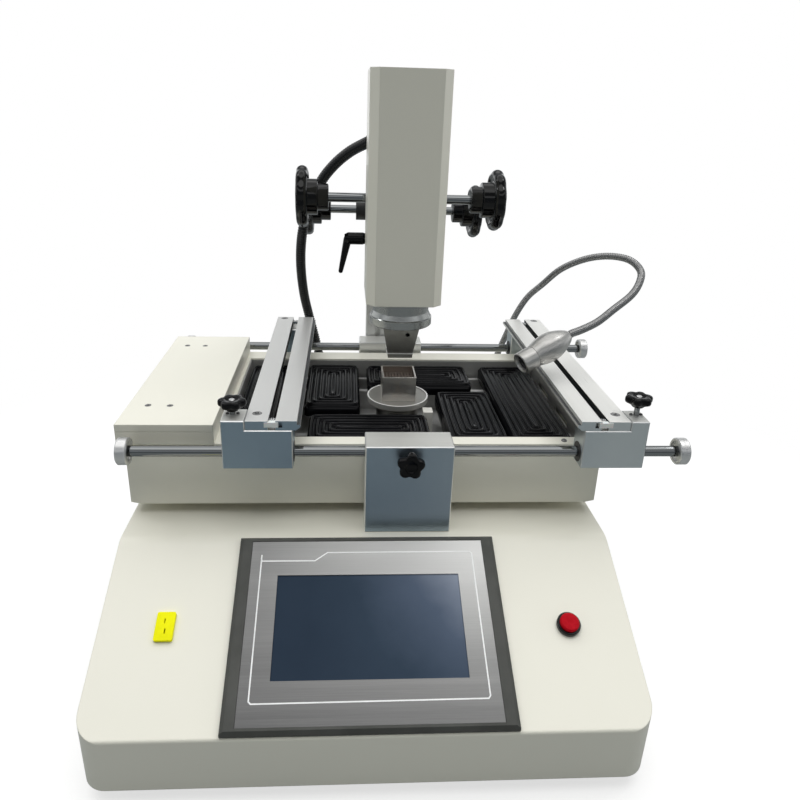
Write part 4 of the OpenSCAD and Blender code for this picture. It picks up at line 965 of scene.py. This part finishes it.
def make_knobs():
    """The clamps' knobs on their studs, and the knob that locks the rails."""
    for side, up in (("left", 3.3), ("right", 8.2)):
        x, body = KNOB_X[side], f"{side}_lock"
        place = moved(x, -102, BEAM_TOP + up)
        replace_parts(knob(f"{side}_clamp_knob", 6, 12.5, 11, place, body), f"{side}_knob")
        lathe(f"{side}_clamp_insert", [(0, 9.0), (2.6, 9.0), (2.6, 10.2), (2.1, 10.7), (0, 10.75)], F["cap"], body,
              place, 32)
        low = moved(x, -102, BEAM_TOP)
        lathe(f"{side}_clamp_stud", [(0, -14), (2.2, -14), (2.5, -13.6), (2.5, up + 1), (0, up + 1)],
              F["rail"], body, low, 32)
    place = turn_to((0, -1, 0), (AXIS_X, -125, 212.7))
    up = place.inverted().to_3x3() @ Vector((sin(radians(5)), 0, 1))
    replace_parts(knob("rail_lock_knob", 5, 12.5, 12, place, "rail_lock", atan2(up.y, up.x)), "frame_knob")
    lathe("rail_lock_stud", [(0, -22), (3, -22), (3, 1), (0, 1)], F["rail"], "rail_lock", place, 32)


make_wheels()
make_knobs()

# ---------------- springs

SPRING_L = 5.5


def make_springs():
    """Four coil springs between the fixed strips and the sprung jaws."""
    turns, wire, coil = 3.5, 0.4, 2.8
    for side, seam, s in CLAMPS:
        for k, y in enumerate((-108, 190), 1):
            face = seam + s * 20
            line = []
            for i in range(int(turns * 24) + 1):
                a = tau * i / 24
                line.append(mm(face + s * (0.5 + SPRING_L * i / (turns * 24)), y + coil * cos(a),
                               243.7 + coil * sin(a)))
            made = tube(f"{side}_spring_{k}", line, [wire * MM] * len(line), 8, F["spring"], f"{side}_clamp")
            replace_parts(made, f"{side}_springs")
            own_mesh(made)


make_springs()

# ---------------- screws and small fittings


def cross_screw(name, d, place, body, sunk=True):
    """A cross-recessed screw head on z = 0, sunk in it or standing on it."""
    r, finish = d / 2, F["screw"]
    if sunk:
        profile = [(0, -1.6), (r * 0.5, -1.6), (r, -0.25), (r, -0.05), (r - 0.15, 0.0), (0, 0.05)]
    else:
        profile = [(0, -0.1), (r, -0.1), (r, 0.5), (r - 0.5, 1.3), (r - 1.4, 1.8), (0, 2.0)]
    head = lathe(name, profile, finish, body, place, 40)
    top = profile[-1][1]
    w = r * 0.16
    long = r * 0.62
    for x, y in ((long, w), (w, long)):
        cut(head, block("cutter", (-x, -y, top - 0.9), (x, y, top + 1), finish, 0.02, place))
    return head


def hex_screw(name, d, h, place, finish):
    """A socket-head screw standing on z = 0."""
    r = d / 2
    head = lathe(name, [(0, -0.4), (r, -0.4), (r, h - 0.3), (r - 0.3, h), (0, h)], finish, None, place, 36)
    socket = place @ Matrix.Translation((0, 0, (h - 1.4) * MM))
    return cut(head, extruded("cutter", hexagon(r * 0.55), 4, finish, None, socket))


def make_screws():
    """All the screws that show, joined where they are of one kind and body."""
    up = [moved(x, y, 231.25) @ Matrix.Rotation(a, 4, "Z")
          for x, y, a in ((-210.1, 131.3, 0.3), (-189.2, 130.7, 0.7), (-210.1, -45.9, 0.1), (-189.1, -46.7, 0.5))]
    joined("cover_screws", [cross_screw("screw", 6, p, None) for p in up], "base")
    for side, seam, s in CLAMPS:
        at = [moved(seam + s * 9, y, 248.15) @ Matrix.Rotation(y, 4, "Z") for y in (-101, 193)]
        joined(f"{side}_beam_screws", [cross_screw("screw", 8.6, p, None) for p in at], f"{side}_clamp")
        at = [moved(KNOB_X[side] + k * 4.6, -101.4, BEAM_TOP) for k in (-1, 1)]
        joined(f"{side}_pad_screws", [hex_screw("screw", 3.2, 0.9, p, F["black_screw"]) for p in at],
               f"{side}_clamp")
    rear = [turn_to((0, 1, 0), (x, REAR_Y, z), x) for x in (-200, -66, 66, 200) for z in (26, 112)]
    joined("rear_screws", [cross_screw("screw", 6.5, p, None, sunk=False) for p in rear], "base")
    fan_x, fan_z, hole = 110, 77, 35.75
    fan = [turn_to((0, 1, 0), (fan_x + x, REAR_Y, fan_z + z), x + z) for x in (-hole, hole) for z in (-hole, hole)]
    joined("fan_screws", [cross_screw("screw", 7, p, None, sunk=False) for p in fan], "base")
    cross_screw("rim_screw", 5.5, moved(187.7, -81.8, 211.5), "base", sunk=False)


def on_panel():
    """The place of the operator panel's front foot, with local Y up the slope, lifted to the panel's face."""
    rise, run, front_y, lip_z, panel_t = 74.5, 148.0, -280, 64, 5.5
    slope = moved(0, front_y, lip_z) @ Matrix.Rotation(atan2(rise, run), 4, "X")
    return slope @ Matrix.Translation((0, 0, panel_t * MM))


def ribbon(name, path, width, thick, finish, body, place):
    """A flat printed line: a thin closed strip along a path in millimetres."""
    pts = [Vector((x, y)) for x, y in path]
    left, right = [], []
    for i, p in enumerate(pts):
        before = (p - pts[i - 1]).normalized() if i else None
        after = (pts[i + 1] - p).normalized() if i < len(pts) - 1 else None
        if before is None or after is None:
            t = before or after
            offset = Vector((-t.y, t.x)) * width / 2
        else:
            mid = (before + after).normalized()
            offset = Vector((-mid.y, mid.x)) * width / 2 / max(0.3, sqrt((1 + before.dot(after)) / 2))
        left.append(p + offset)
        right.append(p - offset)
    points = [Vector((*q, h)) * MM for h in (0, thick) for side in (left, right) for q in side]
    n, faces = len(pts), []
    for i in range(n - 1):
        faces += [(i, i + 1, n + i + 1, n + i), (2 * n + i, 3 * n + i, 3 * n + i + 1, 2 * n + i + 1),
                  (i, 2 * n + i, 2 * n + i + 1, i + 1), (n + i, n + i + 1, 3 * n + i + 1, 3 * n + i)]
    faces += [(0, n, 3 * n, 2 * n), (n - 1, 3 * n - 1, 4 * n - 1, 2 * n - 1)]
    closed(name, points, faces, finish, body, 30, place)


def make_panel():
    """The white line round the screen."""
    line = [(-93.6, 144.0), (-92.6, 140.6), (-46.7, 140.5), (-35.9, 148.2), (90.6, 148.4), (92.3, 146.6),
            (92.8, 26.0), (91.2, 24.0), (-91.6, 23.2), (-93.4, 25.0), (-93.2, 146.5)]
    ribbon("panel_line", line, 1.1, 0.1, F["line"], "base", on_panel())


make_screws()
make_panel()

# ---------------- floor, backdrop and light


def stage_material(name, plain, shown, glow, near, far):
    """A pale matte surface. The camera sees the object's shadow near it, and plain white further out."""
    made = bpy.data.materials.new(name)
    made.use_nodes = True
    tree = made.node_tree
    tree.nodes.clear()

    matte = new_node(tree, "ShaderNodeBsdfDiffuse", Color=(*plain, 1))
    lit = new_node(tree, "ShaderNodeBsdfDiffuse", Color=(*shown, 1))
    near_glow = new_node(tree, "ShaderNodeEmission", Color=(1, 1, 1, 1), Strength=glow)
    white = new_node(tree, "ShaderNodeEmission", Color=(1, 1, 1, 1), Strength=1.0)
    both = new_node(tree, "ShaderNodeAddShader")
    tree.links.new(lit.outputs[0], both.inputs[0])
    tree.links.new(near_glow.outputs[0], both.inputs[1])
    coords = new_node(tree, "ShaderNodeTexCoord")
    length = tree.nodes.new("ShaderNodeVectorMath")
    length.operation = "LENGTH"
    tree.links.new(coords.outputs["Object"], length.inputs[0])
    away = new_node(tree, "ShaderNodeMapRange", From_Min=near, From_Max=far)
    away.interpolation_type = "SMOOTHSTEP"
    tree.links.new(length.outputs["Value"], away.inputs["Value"])
    path = new_node(tree, "ShaderNodeLightPath")
    shown_mix = mix_node(tree, away.outputs["Result"], both.outputs[0], white.outputs[0])
    out = new_node(tree, "ShaderNodeOutputMaterial")
    tree.links.new(mix_node(tree, path.outputs["Is Camera Ray"], matte.outputs[0], shown_mix), out.inputs["Surface"])
    return made


def make_floor():
    """The floor, just below the feet."""
    size, gap = 6.0, 0.0004
    mesh = bpy.data.meshes.new("floor")
    mesh.from_pydata([(-size, -size, 0), (size, -size, 0), (size, size, 0), (-size, size, 0)], [], [(0, 1, 2, 3)])
    mesh.materials.append(stage_material("floor", (0.33, 0.35, 0.355), (0.42, 0.42, 0.42), 0.66, 0.42, 0.78))
    floor = new_object("floor", mesh)
    floor.location.z = -gap


def area_light(name, at, size, power):
    """A square soft lamp that looks at the object."""
    data = bpy.data.lights.new(name, "AREA")
    data.shape, data.size, data.size_y = "RECTANGLE", size, size
    data.energy = power
    light = new_object(name, data)
    light.location = at
    light.rotation_euler = (Vector((0, 0, 0.2)) - Vector(at)).to_track_quat("-Z", "Y").to_euler()
    return light


def make_world():
    """Soft studio surroundings: white behind and above, a window in the dark front, lighter at the sides."""
    world = bpy.data.worlds.new("studio")
    world.use_nodes = True
    SCENE.world = world
    world.cycles.sampling_method = "NONE"
    tree = world.node_tree
    tree.nodes.clear()
    out = tree.nodes.new("ShaderNodeOutputWorld")
    path = tree.nodes.new("ShaderNodeLightPath")
    coords = tree.nodes.new("ShaderNodeTexCoord")
    parts = tree.nodes.new("ShaderNodeSeparateXYZ")
    tree.links.new(coords.outputs["Generated"], parts.inputs[0])

    def background(color, strength=1.0):
        made = new_node(tree, "ShaderNodeBackground", Strength=strength)
        if isinstance(color, tuple):
            made.inputs["Color"].default_value = (*color, 1)
        else:
            tree.links.new(color, made.inputs["Color"])
        return made.outputs[0]

    height = parts.outputs["Z"]
    sky = ramp_node(tree, height, [
        (0.0, (0.62, 0.63, 0.64)), (0.25, (0.60, 0.61, 0.61)), (0.42, (0.15, 0.16, 0.165)),
        (0.66, (0.20, 0.205, 0.21)), (0.82, (1.0, 1.0, 0.99)), (0.92, (0.55, 0.55, 0.545))])
    window = ramp_node(tree, height, [
        (0.0, (0.10, 0.11, 0.12)), (0.34, (0.08, 0.09, 0.10)), (0.42, (0.75, 0.76, 0.77)),
        (0.48, (0.75, 0.76, 0.77)), (0.56, (0.10, 0.105, 0.11)), (0.80, (0.10, 0.105, 0.11)),
        (0.85, (1.0, 1.0, 0.99))])
    turned = tree.nodes.new("ShaderNodeMixRGB")
    backward = math_node(tree, "ADD", parts.outputs["Y"], 0.5)
    tree.links.new(ramp_node(tree, backward, [(0.25, (0, 0, 0)), (0.65, (1, 1, 1))]), turned.inputs[0])
    tree.links.new(window, turned.inputs[1])
    tree.links.new(sky, turned.inputs[2])
    across = math_node(tree, "MULTIPLY_ADD", parts.outputs["X"], 0.5, 0.5)
    fill = ramp_node(tree, across, [
        (0.0, (0.70, 0.71, 0.68)), (0.2, (0.15, 0.155, 0.148)), (0.5, (0.105, 0.109, 0.104)),
        (0.8, (0.15, 0.155, 0.148)), (1.0, (1.0, 1.0, 0.97))])
    glossy = math_node(tree, "MAXIMUM", path.outputs["Is Glossy Ray"], path.outputs["Is Transmission Ray"])
    seen = mix_node(tree, glossy, background(fill), background(turned.outputs[0], 1.75))
    white = background((1.0, 1.0, 1.0))
    tree.links.new(mix_node(tree, path.outputs["Is Camera Ray"], seen, white), out.inputs["Surface"])


make_floor()
area_light("ceiling", (0.0, 0.56, 5.0), 6.7, 310).visible_glossy = False   # the world gives metal its gloss
area_light("lamp_left", (-1.3, 0.5, 1.7), 0.28, 2.2)
area_light("lamp_right", (1.2, 0.1, 1.8), 0.28, 2.2)
make_world()
SCENE.view_settings.view_transform = "Standard"
